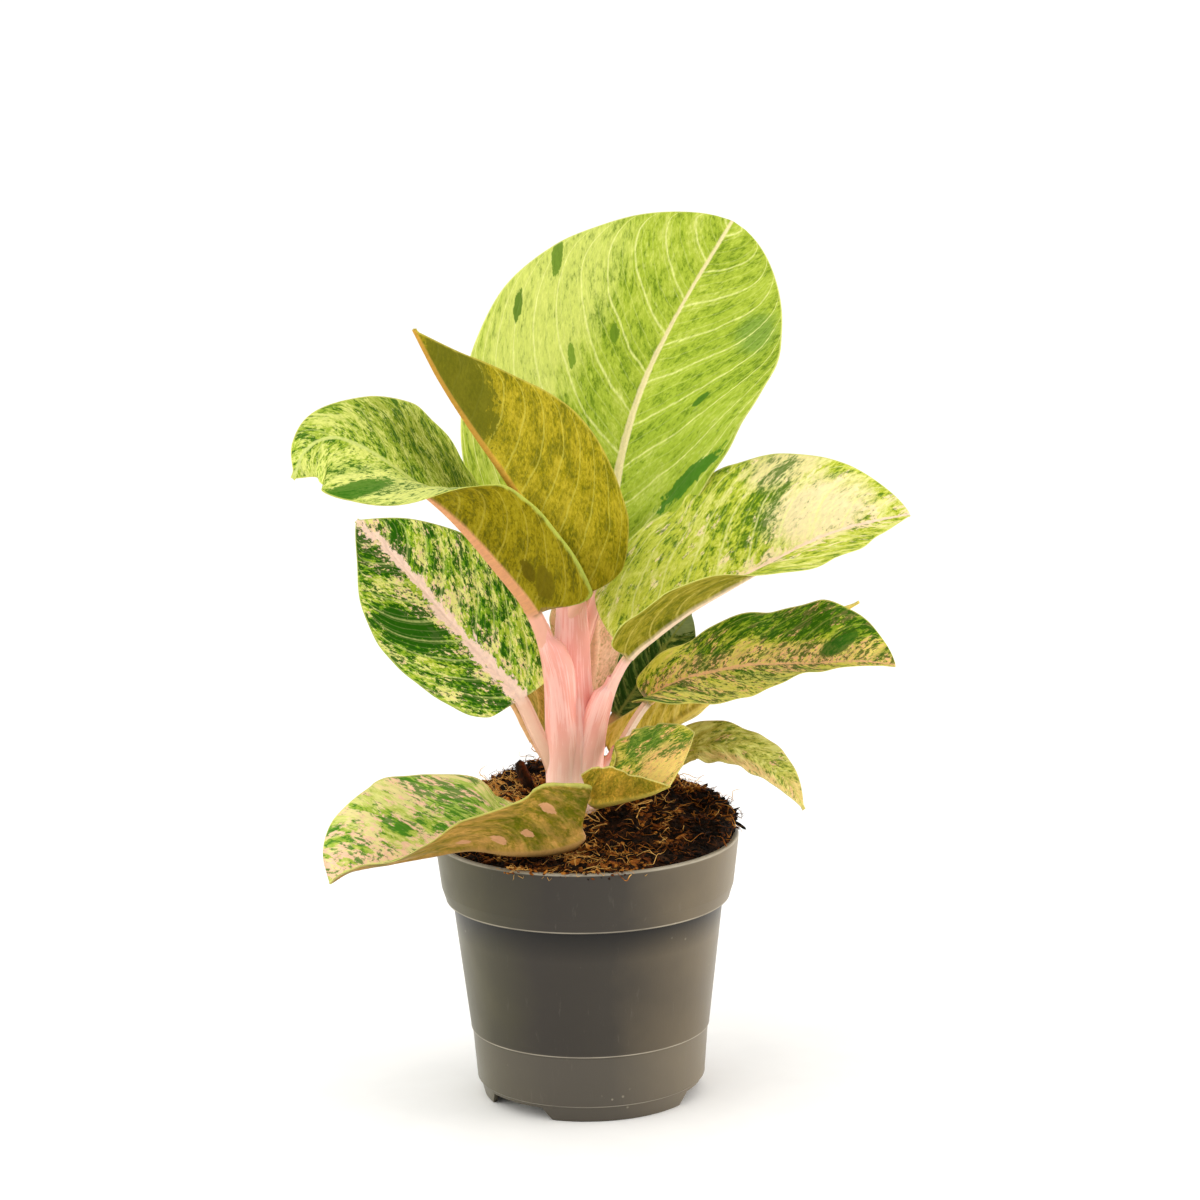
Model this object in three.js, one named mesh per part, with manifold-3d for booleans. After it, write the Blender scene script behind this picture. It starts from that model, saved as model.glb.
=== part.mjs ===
// A potted chinese evergreen: thirteen speckled leaves on a pink stem, in a 12 cm nursery pot.
// Millimetres, +Z up, origin in the middle of the pot's underside, -Y towards the viewer.
import * as THREE from "three";
import { mergeVertices } from "three/addons/utils/BufferGeometryUtils.js";
import Module from "manifold-3d";

// Pot: outer radii and heights, from the ground up.
const FOOT_R = 42.6;
const FOOT_TOP_R = 45.2;
const FOOT_H = 7;
const STEP_R = 47.1;
const STEP_Z = 27.7;
const COLLAR_R = 57.4;
const COLLAR_Z = 79.6;
const NECK_R = 53.4;
const RIM_R = 60;
const RIM_Z = 105;
const WALL = 1.4;
const FLOOR_Z = 5;
const FLOOR_T = 1.6;
const PAD_R = 8;
const FEET = 3;
const NOTCH_HALF_ANGLE = 20;
const FIRST_NOTCH = 76.5;
const DRAIN_R = 1.9;
const DRAIN_COUNT = 8;

// Soil: a flat-topped heap that falls towards the front of the rim.
const HEAP_H = 17;
const HEAP_BACK = 6;
const SOIL_RINGS = 7;
const SOIL_SIDES = 36;
const SOIL_GAP = 0.3;

// Leaves: blade thickness, clearance to what they grow from, and the stations along a leaf.
const BLADE_T = 0.8;
const CLEAR = 0.3;
const PETIOLE_STEPS = 5;
const BLADE_STEPS = [0, 0.03, 0.08, 0.15, 0.24, 0.34, 0.45, 0.56, 0.67, 0.77, 0.86, 0.93, 0.975, 1];

const wasm = await Module();
wasm.setup();

const group = new THREE.Group();

// Shared geometry

function solidFrom(geometry) {
  const bare = geometry.clone();
  bare.deleteAttribute("normal");
  bare.deleteAttribute("uv");
  const merged = mergeVertices(bare, 1e-4);
  return new wasm.Manifold(
    new wasm.Mesh({
      numProp: 3,
      vertProperties: new Float32Array(merged.attributes.position.array),
      triVerts: new Uint32Array(merged.index.array),
    }),
  );
}

function geometryFrom(solid) {
  const mesh = solid.getMesh();
  const geometry = new THREE.BufferGeometry();
  const points = new Float32Array(mesh.numVert * 3);
  for (let i = 0; i < mesh.numVert; i++) {
    points.set(mesh.vertProperties.subarray(i * mesh.numProp, i * mesh.numProp + 3), i * 3);
  }
  geometry.setAttribute("position", new THREE.BufferAttribute(points, 3));
  geometry.setIndex(new THREE.BufferAttribute(mesh.triVerts, 1));
  return geometry;
}

// A closed skin through rings of points, with a fan at each end.
function loft(rings) {
  const n = rings[0].length;
  const points = rings.flat();
  const faces = [];
  for (let i = 0; i + 1 < rings.length; i++) {
    for (let j = 0; j < n; j++) {
      const a = i * n + j;
      const b = i * n + ((j + 1) % n);
      faces.push(a, b, a + n, b, b + n, a + n);
    }
  }
  const middle = (ring) =>
    ring.reduce((sum, p) => sum.add(p), new THREE.Vector3()).divideScalar(ring.length);
  points.push(middle(rings[0]), middle(rings[rings.length - 1]));
  const last = (rings.length - 1) * n;
  for (let j = 0; j < n; j++) {
    faces.push(points.length - 2, (j + 1) % n, j);
    faces.push(points.length - 1, last + j, last + ((j + 1) % n));
  }
  const geometry = new THREE.BufferGeometry().setFromPoints(points);
  geometry.setIndex(faces);
  return geometry;
}

// A smooth value at t between evenly spaced ones.
function between(values, t) {
  const place = Math.min(Math.max(t, 0), 1) * (values.length - 1);
  const i = Math.min(Math.floor(place), values.length - 2);
  const f = place - i;
  const s = f * f * (3 - 2 * f);
  return values[i] * (1 - s) + values[i + 1] * s;
}

function vector(p) {
  return new THREE.Vector3(p[0], p[1], p[2]);
}

function addPiece(name, geometry, colour, roughness) {
  const material = new THREE.MeshStandardMaterial({ color: colour, roughness, metalness: 0 });
  geometry.computeVertexNormals();
  const mesh = new THREE.Mesh(geometry, material);
  mesh.name = name;
  group.add(mesh);
}

// Pot

function makePot() {
  const inner = [
    [0, FLOOR_Z + FLOOR_T],
    [FOOT_TOP_R - WALL, FLOOR_Z + FLOOR_T],
    [STEP_R - WALL, STEP_Z],
    [NECK_R - WALL, COLLAR_Z],
    [COLLAR_R - WALL, COLLAR_Z + 3],
    [RIM_R - 2.2, RIM_Z],
  ];
  const outer = [
    [RIM_R - 0.4, RIM_Z],
    [RIM_R, RIM_Z - 0.5],
    [RIM_R - 0.2, RIM_Z - 3],
    [COLLAR_R + 0.4, COLLAR_Z + 6],
    [COLLAR_R - 1.2, COLLAR_Z + 1.2],
    [NECK_R + 0.9, COLLAR_Z],
    [NECK_R, COLLAR_Z - 0.8],
    [STEP_R + 0.3, STEP_Z],
    [STEP_R, STEP_Z - 0.5],
    [FOOT_TOP_R, FOOT_H],
    [FOOT_TOP_R - 0.7, FOOT_H - 1],
    [FOOT_R, 0],
    [FOOT_R - 2.4, 0],
    [FOOT_TOP_R - 3.2, FLOOR_Z],
    [PAD_R, FLOOR_Z],
    [PAD_R - 0.6, 0],
    [0, 0],
  ];
  const profile = inner.concat(outer).map(([r, z]) => new THREE.Vector2(r, z));
  const turned = new THREE.LatheGeometry(profile.reverse(), 42).rotateX(Math.PI / 2);
  let pot = solidFrom(turned);

  // Three notches with slanted ends leave three feet.
  for (let i = 0; i < FEET; i++) {
    const half = FOOT_R * Math.tan(THREE.MathUtils.degToRad(NOTCH_HALF_ANGLE));
    const shape = new THREE.Shape([
      new THREE.Vector2(-half - 1.5, -1),
      new THREE.Vector2(half + 1.5, -1),
      new THREE.Vector2(half - 2.5, FLOOR_Z),
      new THREE.Vector2(-half + 2.5, FLOOR_Z),
    ]);
    const notch = new THREE.ExtrudeGeometry(shape, { depth: 26, bevelEnabled: false });
    notch.rotateX(Math.PI / 2);
    notch.translate(0, -28, 0);
    notch.rotateZ(THREE.MathUtils.degToRad(FIRST_NOTCH + (i * 360) / FEET));
    pot = pot.subtract(solidFrom(notch));
  }
  for (let i = 0; i < DRAIN_COUNT; i++) {
    const hole = new THREE.CylinderGeometry(DRAIN_R, DRAIN_R, 8, 10).rotateX(Math.PI / 2);
    hole.translate(28, 0, FLOOR_Z);
    hole.rotateZ((i * 2 * Math.PI) / DRAIN_COUNT);
    pot = pot.subtract(solidFrom(hole));
  }
  return pot;
}

// Stem: overlapping sheaths that end at different heights

// Each sheath: points up its middle, half-width across and half-depth at each point.
const SHEATHS = [
  { path: [[-5, 0, 98], [-5, 0, 125], [-4.5, -1, 150], [-4, -1, 174], [-3.5, 0, 190]],
    across: [8, 9, 8.5, 7.5, 6], deep: [8, 9, 8, 6.5, 5] },
  { path: [[-8, -4, 98], [-8.5, -5, 125], [-8.5, -7, 150], [-10.5, -9, 170], [-14, -12, 182]],
    across: [5.5, 6.6, 6.6, 6, 3.8], deep: [5, 6.5, 6, 5, 3.6] },
  { path: [[0, -4, 98], [0, -5, 125], [2.5, -6, 143], [6, -7, 158], [9, -8, 167]],
    across: [5.5, 6.5, 6, 5, 3.4], deep: [5, 6, 5.5, 4.5, 3.2] },
  { path: [[-3, 5, 98], [-3, 6, 122], [-2, 7, 140], [-1, 8, 153]],
    across: [7, 7.5, 6.5, 4.5], deep: [5, 5.5, 5, 3.5] },
  { path: [[5, 1, 98], [7.5, 1, 125], [10, 2, 138]],
    across: [4, 4.6, 4.2], deep: [5, 5.5, 4.2] },
];

function makeStem(grow) {
  let stem = null;
  for (const sheath of SHEATHS) {
    const curve = new THREE.CatmullRomCurve3(sheath.path.map(vector), false, "centripetal");
    const rings = [];
    const steps = 8;
    for (let i = 0; i <= steps; i++) {
      const t = i / steps;
      const middle = curve.getPoint(t);
      if (i === 0) middle.z -= grow;
      if (i === steps) middle.z += grow;
      const across = between(sheath.across, t) + grow;
      const deep = between(sheath.deep, t) + grow;
      const ring = [];
      for (let j = 0; j < 14; j++) {
        const angle = (j * 2 * Math.PI) / 14;
        ring.push(new THREE.Vector3(
          middle.x + across * Math.cos(angle),
          middle.y + deep * Math.sin(angle),
          middle.z,
        ));
      }
      rings.push(ring);
    }
    const solid = solidFrom(loft(rings));
    stem = stem ? stem.add(solid) : solid;
  }
  return stem;
}

// Soil

function soilTop(x, y) {
  const r = Math.hypot(x, y) / (RIM_R - 3);
  const front = THREE.MathUtils.smoothstep(-y, -6, 40);
  const height = HEAP_H * (1 - 0.85 * front) + HEAP_BACK * THREE.MathUtils.smoothstep(y, 5, 34);
  const steep = 7 + 13 * THREE.MathUtils.smoothstep(x, 5, 45);
  const heap = height * (1 - Math.pow(Math.min(r, 1), steep));
  const lumps =
    (1 - 0.6 * front) *
    (1.2 * Math.sin(0.21 * x + 1.3) * Math.cos(0.17 * y - 0.4) +
      0.8 * Math.sin(0.43 * x - 0.31 * y + 2) +
      0.5 * Math.cos(0.39 * y + 0.57 * x));
  return RIM_Z - 1.5 + heap + lumps * (1 - 0.5 * r);
}

function makeSoil(stemHole) {
  const wallAt = (z) => {
    const pairs = [
      [FLOOR_Z + FLOOR_T, FOOT_TOP_R - WALL],
      [STEP_Z, STEP_R - WALL],
      [COLLAR_Z, NECK_R - WALL],
      [COLLAR_Z + 3, COLLAR_R - WALL],
      [RIM_Z, RIM_R - 2.2],
    ];
    const k = pairs.findIndex(([height], i) => i > 0 && z <= height + 1e-6);
    const [z0, r0] = pairs[k - 1];
    const [z1, r1] = pairs[k];
    return r0 + ((r1 - r0) * (z - z0)) / (z1 - z0);
  };
  const rings = [];
  const circle = (radius, height) => {
    const ring = [];
    for (let j = 0; j < SOIL_SIDES; j++) {
      const angle = (j * 2 * Math.PI) / SOIL_SIDES;
      const x = radius * Math.cos(angle);
      const y = radius * Math.sin(angle);
      ring.push(new THREE.Vector3(x, y, height(x, y)));
    }
    return ring;
  };
  // The pot's wall has flat facets, so the soil keeps a little further in than a round wall asks.
  const inset = 0.55;
  const bottom = FLOOR_Z + FLOOR_T + SOIL_GAP;
  for (const z of [bottom, STEP_Z, COLLAR_Z - 0.3]) {
    rings.push(circle(wallAt(z) - inset, () => z));
  }
  rings.push(circle(wallAt(COLLAR_Z + 3) - inset, () => COLLAR_Z + 3.2));
  rings.push(circle(wallAt(RIM_Z - 6) - inset, () => RIM_Z - 6));
  for (let i = SOIL_RINGS; i >= 1; i--) {
    const radius = (wallAt(RIM_Z - 2) - inset) * Math.pow(i / SOIL_RINGS, 0.85);
    rings.push(circle(radius, (x, y) => soilTop(x, y)));
  }
  return solidFrom(loft(rings)).subtract(stemHole);
}

// Leaves

// Half-width along one side of the blade: a rounded base, the widest place, and a drawn-out tip.
function outline(leaf, side, v) {
  const widest = leaf.widest[side];
  if (v < widest) {
    const k = (widest - v) / widest;
    return leaf.heel[side] + (1 - leaf.heel[side]) * Math.pow(1 - k * k, leaf.shoulder ? leaf.shoulder[side] : 0.5);
  }
  const k = (v - widest) / (1 - widest);
  return Math.pow(Math.cos((k * Math.PI) / 2), leaf.taper[side]);
}

function makeLeaf(leaf) {
  const points = leaf.petiole.concat(leaf.rib).map(vector);
  const curve = new THREE.CatmullRomCurve3(points, false, "centripetal");
  curve.arcLengthDivisions = 800;
  const chord = (list) =>
    list.slice(1).reduce((sum, p, i) => sum + p.distanceTo(list[i]), 0);
  const bladeFrom = chord(points.slice(0, leaf.petiole.length + 1)) / chord(points);

  const stations = [];
  for (let i = 0; i < PETIOLE_STEPS; i++) {
    stations.push({ t: (bladeFrom * 0.985 * i) / (PETIOLE_STEPS - 1), v: -1 + i / (PETIOLE_STEPS - 1) });
  }
  for (const v of BLADE_STEPS) {
    stations.push({ t: bladeFrom + (1 - bladeFrom) * v, v });
  }

  const rings = stations.map(({ t, v }) => {
    const middle = curve.getPointAt(t);
    const along = curve.getTangentAt(t);
    const w = Math.max(v, 0);
    const face = new THREE.Vector3(
      between(leaf.face.map((f) => f[0]), w),
      between(leaf.face.map((f) => f[1]), w),
      between(leaf.face.map((f) => f[2]), w),
    );
    face.addScaledVector(along, -face.dot(along)).normalize();
    const across = along.clone().cross(face);
    const stalk = leaf.stalk ?? 2.4;
    const rib = v < 0 ? stalk * (1 + (leaf.sheath ?? 0.25) * v * v) : stalk * (1 - v) + 0.3;

    const side = (sign) => {
      const k0 = sign < 0 ? 0 : 1;
      const half = leaf.half[k0];
      const narrow = rib + 0.7;
      const width = v < 0 ? narrow : Math.max(half * outline(leaf, k0, v), 0.8);
      const lift = THREE.MathUtils.degToRad(between(leaf.lift[k0], w));
      const curl = THREE.MathUtils.degToRad(between(leaf.curl[k0], w));
      const heel = Math.max(0, 1 - v / 0.35);
      const sweep = v < 0 ? 0 : THREE.MathUtils.degToRad(leaf.sweep[k0]) * heel * heel;
      const opened = Math.min(Math.max((width - narrow) / 8, 0), 1);
      const first = Math.min(rib, width * 0.6) * (0.5 + 0.5 * opened);
      const spots = [first];
      for (const k of [0.3, 0.65, 1]) spots.push(first + (width - first) * k);
      return spots.map((x) => {
        const q = v < 0 ? 0 : x / width;
        const turn = (curl * q) / 2;
        const reach = turn === 0 ? x : (x * Math.sin(turn)) / turn;
        const angle = (v < 0 ? 0 : lift) + turn;
        const tilt = (v < 0 ? 0 : lift) + curl * q;
        const top = middle.clone()
          .addScaledVector(across, sign * reach * Math.cos(angle) * Math.cos(sweep))
          .addScaledVector(face, reach * Math.sin(angle))
          .addScaledVector(along, -reach * Math.sin(sweep));
        const normal = face.clone().multiplyScalar(Math.cos(tilt))
          .addScaledVector(across, -sign * Math.sin(tilt));
        if (leaf.wave && v >= 0) {
          const swing = Math.sin(2 * Math.PI * (leaf.wave[1] * v + leaf.wave[2] + (sign > 0 ? 0.3 : 0)));
          const grow = q * q * Math.sin(Math.PI * Math.min(1, v * 1.05));
          top.addScaledVector(normal, leaf.wave[0] * grow * swing);
        }
        const bulge = x < rib ? rib * Math.sqrt(1 - (x / rib) ** 2) : 0;
        const under = top.clone().addScaledVector(normal, -(BLADE_T + bulge));
        return { top, under };
      });
    };
    const left = side(-1).reverse();
    const right = side(1);
    const centre = {
      top: middle,
      under: middle.clone().addScaledVector(face, -(BLADE_T + rib)),
    };
    const line = [...left, centre, ...right];
    return line.map((p) => p.top).concat(line.map((p) => p.under).reverse());
  });
  return loft(rings);
}

// Every leaf: the petiole from inside the stem, the midrib from blade base to tip, the way the upper
// face looks at base, middle and tip, the two half-widths, and how the halves lift and curl.
const LEAVES = [
  {
    name: "leaf_top", colour: 0xa9c14b,
    petiole: [[-1, 2, 180], [3, 6, 191]],
    rib: [[7, 10, 201], [12, 17, 228], [17, 23, 254], [26, 31, 280], [40, 41, 306], [62, 54, 340]],
    face: [[-0.3, -0.9, 0.3], [-0.3, -0.9, 0.35], [-0.2, -0.9, 0.4]],
    half: [69, 52], widest: [0.52, 0.62], heel: [0.2, 0.15], taper: [0.6, 0.55], sweep: [20, 5], stalk: 2.3,
    shoulder: [0.6, 0.95],
    lift: [[20, 18, 12, 8], [8, 14, 16, 12]], curl: [[10, 0, -10, -15], [0, 0, -5, -10]],
  },
  {
    name: "leaf_folded", colour: 0x8e9440,
    petiole: [[-6, -1, 184], [-4.5, -3, 193]],
    rib: [[-1, -7, 203], [-8, -20, 221], [-19, -36, 241], [-30, -52, 262], [-40, -66, 280], [-50, -78, 299],
      [-59, -86, 319]],
    face: [[0.6, 0.8, 0.3], [0.5, 0.8, 0.35], [0.5, 0.7, 0.4]],
    half: [36.5, 30], widest: [0.42, 0.42], heel: [0.2, 0.2], taper: [1, 1], sweep: [5, 5], stalk: 2.2,
    lift: [[50, 50, 50, 60], [78, 78, 75, 70]], curl: [[0, 0, 0, 0], [0, 0, 0, 0]],
  },
  {
    name: "leaf_left_arching", colour: 0x9cb043,
    petiole: [[-11.5, -10, 172], [-15, -14, 186]],
    rib: [[-19, -20, 200], [-32, -29, 220], [-49, -41, 243], [-66, -51, 258], [-80, -58, 268], [-92, -63, 273],
      [-100, -67, 270], [-106, -69, 262]],
    face: [[0.5, 0.7, 0.5], [0.4, 0.45, 0.8], [0.1, -0.15, 0.95], [-0.2, -0.5, 0.8], [-0.5, -0.75, 0.3]],
    half: [32, 35], widest: [0.5, 0.62], heel: [0.65, 0.2], taper: [0.42, 0.95], sweep: [35, 10], stalk: 2.4,
    lift: [[40, 40, 32, 4, -15], [55, 50, 40, 5, -10]], curl: [[0, 0, 0, -20], [0, 0, -10, -20]],
  },
  {
    name: "leaf_left_flat", colour: 0x5f8a3a,
    petiole: [[-10, -5, 124], [-14, -9, 138], [-19, -9, 149]],
    rib: [[-25, -8, 162], [-35, -7, 174], [-46, -5, 186], [-57, -3, 199], [-67, -1, 211], [-76, 2, 221],
      [-86, 5, 230]],
    face: [[-0.1, -0.85, 0.45], [-0.1, -0.85, 0.4], [-0.1, -0.85, 0.4]],
    half: [28, 30], widest: [0.5, 0.5], heel: [0.25, 0.3], taper: [0.72, 0.85], sweep: [5, 10], stalk: 2.2,
    lift: [[15, 12, 10, 5], [15, 12, 10, 5]], curl: [[0, 0, 0, 0], [0, 0, 0, 0]],
  },
  {
    name: "leaf_right_broad", colour: 0xa5b84a,
    petiole: [[7, -7, 158], [11.5, -8.5, 170]],
    rib: [[17, -9.5, 179], [28, -13, 189], [41, -17, 199], [56, -20, 208], [75, -20, 218], [90, -18, 225],
      [108, -14, 230], [127, -12, 233]],
    face: [[0, 0, 1], [0, 0, 1], [0, 0, 1]],
    half: [43, 33], widest: [0.5, 0.5], heel: [0.42, 0.25], taper: [0.65, 0.85], sweep: [0, 0], stalk: 2.2,
    lift: [[78, 74, 68, 58, 45], [22, 22, 10, -8, -10]], curl: [[0, 0, 0, 0], [0, 0, 0, 0]],
    wave: [1.5, 2.2, 0.1],
  },
  {
    name: "leaf_right_waved", colour: 0x6c8b3c,
    petiole: [[6, 0, 126], [12, 1, 139], [19, 2, 149]],
    rib: [[25, 3, 158], [36, 4, 165], [50, 6, 168], [64, 8, 170], [78, 9, 170], [93, 10, 170], [109, 11, 170],
      [123, 12, 168]],
    face: [[0, 0, 1], [0, 0, 1], [0, 0, 1]],
    half: [30, 25], widest: [0.6, 0.55], heel: [0.35, 0.4], taper: [0.65, 0.8], sweep: [10, 20], stalk: 2,
    lift: [[40, 38, 44, 48, 40], [-4, -4, -8, -6, -5]], curl: [[0, 0, 0, 0], [0, 0, 0, 0]],
    wave: [2, 2.2, 0.3],
  },
  {
    name: "leaf_right_drooping", colour: 0x7d8f4b,
    petiole: [[8, -1, 127], [19, 2, 129]],
    rib: [[32, 8, 132], [43, 11, 137], [54, 9, 138], [65, 6, 135], [75, 3, 129], [82, 1, 121], [86, 0, 113]],
    face: [[0, -0.2, 1], [0.1, -0.22, 0.97], [0.7, -0.5, 0.5]],
    half: [13, 15], widest: [0.45, 0.45], heel: [0.35, 0.35], taper: [1, 1], sweep: [10, 10], stalk: 1.8,
    lift: [[20, 20, 10, 5], [5, 0, 0, 0]], curl: [[0, 0, 0, 0], [0, 0, 0, 0]],
    wave: [1, 1.5, 0],
  },
  {
    name: "leaf_front_cupped", colour: 0x93a348,
    petiole: [[1, -6, 128], [2, -12, 124]],
    rib: [[3, -17, 122], [9, -23, 124], [17, -31, 127.5], [25, -38, 131], [32, -45, 135.5]],
    face: [[0, 0, 1], [0, 0, 1], [0, 0, 1]],
    half: [31, 16], widest: [0.6, 0.4], heel: [0.45, 0.6], taper: [0.4, 0.8], sweep: [-10, 10], stalk: 1.6,
    lift: [[60, 55, 48, 40], [65, 60, 55, 50]], curl: [[0, 0, 0, 0], [10, 10, 0, 0]],
  },
  {
    name: "leaf_front_left", colour: 0x9dab52,
    petiole: [[-7, -8, 127], [-7, -21, 120], [-4, -31, 115]],
    rib: [[-5, -38, 112.5], [-15, -45, 111], [-29, -51, 112.5], [-44, -55, 115.5], [-60, -59, 114], [-75, -62, 112],
      [-90, -62, 109], [-98, -61, 104]],
    face: [[0, 0, 1], [0, 0, 1], [0, 0, 1]],
    half: [32, 35], widest: [0.4, 0.58], heel: [0.45, 0.3], taper: [0.8, 0.5], sweep: [25, 10], stalk: 2,
    lift: [[85, 75, 45, 28, 16, 10], [25, 25, 38, 50, 58, 50]], curl: [[0, 0, 0, 0], [0, 0, 0, 0]],
  },
  {
    name: "leaf_back_left", colour: 0x7b7f3c,
    petiole: [[-6, 4, 124], [-14, 10, 132]],
    rib: [[-20, 15, 140], [-27, 21, 152], [-36, 29, 164], [-46, 36, 173], [-58, 42, 179]],
    face: [[0.3, 0.6, 0.6], [0.2, 0.5, 0.8], [-0.1, 0.2, 1]],
    half: [26, 22], widest: [0.45, 0.45], heel: [0.4, 0.35], taper: [1, 1], sweep: [10, 10], stalk: 1.8,
    lift: [[30, 25, 15, 10], [25, 20, 15, 10]], curl: [[0, 0, 0, 0], [0, 0, 0, 0]],
  },
  {
    name: "leaf_back_right", colour: 0x3f6a38,
    petiole: [[2, 8, 134], [8, 14, 141]],
    rib: [[13, 19, 148], [20, 25, 157], [27, 31, 166], [35, 37, 175], [43, 43, 184]],
    face: [[0.3, -0.7, 0.6], [0.3, -0.7, 0.6], [0.3, -0.7, 0.6]],
    half: [16, 15], widest: [0.5, 0.5], heel: [0.35, 0.35], taper: [0.75, 0.75], sweep: [10, 10], stalk: 1.8,
    lift: [[20, 15, 10, 10], [20, 15, 10, 10]], curl: [[0, 0, 0, 0], [0, 0, 0, 0]],
  },
  {
    name: "leaf_back_middle", colour: 0xb79a72,
    petiole: [[-1, 8, 140], [1, 13, 151]],
    rib: [[2, 15, 160], [4, 18, 172], [5, 22, 185], [5, 26, 198], [4, 30, 212]],
    face: [[0, 0.9, 0.2], [0, 0.9, 0.2], [0, 0.9, 0.3]],
    half: [12, 19], widest: [0.5, 0.5], heel: [0.35, 0.35], taper: [0.9, 0.9], sweep: [10, 10], stalk: 1.8,
    lift: [[25, 20, 15, 10], [25, 20, 15, 10]], curl: [[0, 0, 0, 0], [0, 0, 0, 0]],
  },
  {
    name: "leaf_right_back", colour: 0x838a45,
    petiole: [[6, 6, 131], [10, 8, 133]],
    rib: [[15, 10, 135.5], [26, 13.5, 140.5], [42, 20, 149], [60, 28, 160], [79, 37, 170], [95, 44, 178],
      [111, 49, 186]],
    face: [[-0.2, 1, 0.2], [-0.2, 0.9, 0.4], [0, 0.5, 0.8]],
    half: [13, 16], widest: [0.5, 0.5], heel: [0.35, 0.7], taper: [1, 1], sweep: [0, 15], stalk: 1.8,
    lift: [[50, 45, 30, 20], [0, 5, 10, 10]], curl: [[0, 0, 0, 0], [0, 0, 0, 0]],
  },
];

const stem = makeStem(0);
const stemClear = makeStem(CLEAR);
addPiece("pot", geometryFrom(makePot()), 0x5b554c, 0.55);
addPiece("soil", geometryFrom(makeSoil(stemClear)), 0x3b2618, 0.95);
addPiece("stem", geometryFrom(stem), 0xe8b3a4, 0.5);
for (const leaf of LEAVES) {
  const parts = solidFrom(makeLeaf(leaf)).subtract(stemClear).decompose();
  const whole = parts.reduce((a, b) => (b.volume() > a.volume() ? b : a));
  addPiece(leaf.name, geometryFrom(whole), leaf.colour, 0.45);
}

export default group;
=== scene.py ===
"""A potted chinese evergreen: thirteen speckled leaves on a pink stem, in a 12 cm nursery pot.

Sizes are written in millimetres and turned to metres where a mesh is made.
"""
import math

import bpy
import numpy as np
from mathutils import Matrix, Vector, noise


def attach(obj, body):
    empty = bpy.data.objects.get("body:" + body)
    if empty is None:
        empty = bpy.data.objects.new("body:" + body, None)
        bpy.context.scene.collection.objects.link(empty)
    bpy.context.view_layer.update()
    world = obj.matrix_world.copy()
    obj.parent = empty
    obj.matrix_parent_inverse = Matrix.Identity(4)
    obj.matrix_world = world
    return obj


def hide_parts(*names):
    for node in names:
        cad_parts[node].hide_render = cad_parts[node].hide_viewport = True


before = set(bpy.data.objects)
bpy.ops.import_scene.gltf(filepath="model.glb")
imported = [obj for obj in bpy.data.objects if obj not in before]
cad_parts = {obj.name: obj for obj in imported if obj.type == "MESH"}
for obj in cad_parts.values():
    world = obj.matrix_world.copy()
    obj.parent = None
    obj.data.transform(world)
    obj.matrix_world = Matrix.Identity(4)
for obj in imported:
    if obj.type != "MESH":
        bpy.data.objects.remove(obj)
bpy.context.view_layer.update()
scene = bpy.context.scene
MM = 0.001

# Camera.
# A long lens 1.6 m away looks 12 degrees down on the middle of the plant. It leans one degree to
# the right, as the hand-held camera did.
LOOK_AT = Vector((6.9, 0.0, 199.0)) * MM
DISTANCE = 1.6
ELEVATION = math.radians(12.0)
LEAN = math.radians(1.05)
LENS = 123.0

lens_data = bpy.data.cameras.new("camera")
lens_data.lens = LENS
lens_data.sensor_width = 36.0
lens_data.clip_start = 0.05
lens_data.clip_end = 60.0
camera = bpy.data.objects.new("camera", lens_data)
scene.collection.objects.link(camera)
backwards = Vector((0.0, -math.cos(ELEVATION), math.sin(ELEVATION)))
upright = Vector((0.0, math.sin(ELEVATION), math.cos(ELEVATION)))
sideways = Vector((1.0, 0.0, 0.0))
camera_right = sideways * math.cos(LEAN) - upright * math.sin(LEAN)
camera_up = sideways * math.sin(LEAN) + upright * math.cos(LEAN)
turned = Matrix((camera_right, camera_up, backwards)).transposed().to_4x4()
camera.matrix_world = Matrix.Translation(LOOK_AT + backwards * DISTANCE) @ turned
scene.camera = camera

# Pot.
# A 12 cm nursery pot of taupe-grey polypropylene, injection moulded with a thin wall: a deep
# collar, a tapered body with a mould line, and a foot ring cut by three notches. The floor has
# eight drain holes.
POT_PROFILE = [
    (0, 6.6), (43.8, 6.6), (45.7, 27.7), (52.0, 79.6), (56.0, 82.6), (57.8, 105),
    (59.6, 105), (60, 104.5), (59.8, 102), (57.8, 85.6), (56.4, 81.2), (56.2, 80.2), (53.5, 79.4),
    (47.45, 28.1), (47.5, 27.6), (46.9, 27.2), (45.3, 7), (44.2, 6.2), (42.6, 0),
    (40.2, 0), (42.0, 5), (8, 5), (7.4, 0), (0, 0),
]
POT_SEGMENTS = 144
TURNING_R = 10.0
NOTCHES = 3
NOTCH_ANGLE = 76.5
NOTCH_HALF = 15.5
DRAIN_HOLES = 8
DRAIN_R = 1.9
DRAIN_CIRCLE_R = 28.0
DRAIN_CUT = 12.0
CORNER_R = 0.3
WELD = 0.02
NOTCH_DEPTHS = (-36, -54)
NOTCH_TOP = 5.02
NOTCH_FLARE = 1.5
NOTCH_NARROWING = 2.5
# Pale lines at the rim, the collar's lower edge, the mould line and the foot, partly where the pot
# rubs and partly painted highlights along these edges: height, half-width and how strong.
WORN_AND_HIGHLIGHT_LINES = [(105.0, 0.7, 0.7), (80.6, 0.22, 0.6), (27.7, 0.2, 0.75), (6.6, 0.25, 0.6)]


def hex_colour(text, alpha=1.0):
    """An sRGB hex colour as the linear colour that a shader takes."""
    values = [int(text[i:i + 2], 16) / 255 for i in (1, 3, 5)]
    linear = [v / 12.92 if v <= 0.04045 else ((v + 0.055) / 1.055) ** 2.4 for v in values]
    return (*linear, alpha)


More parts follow.
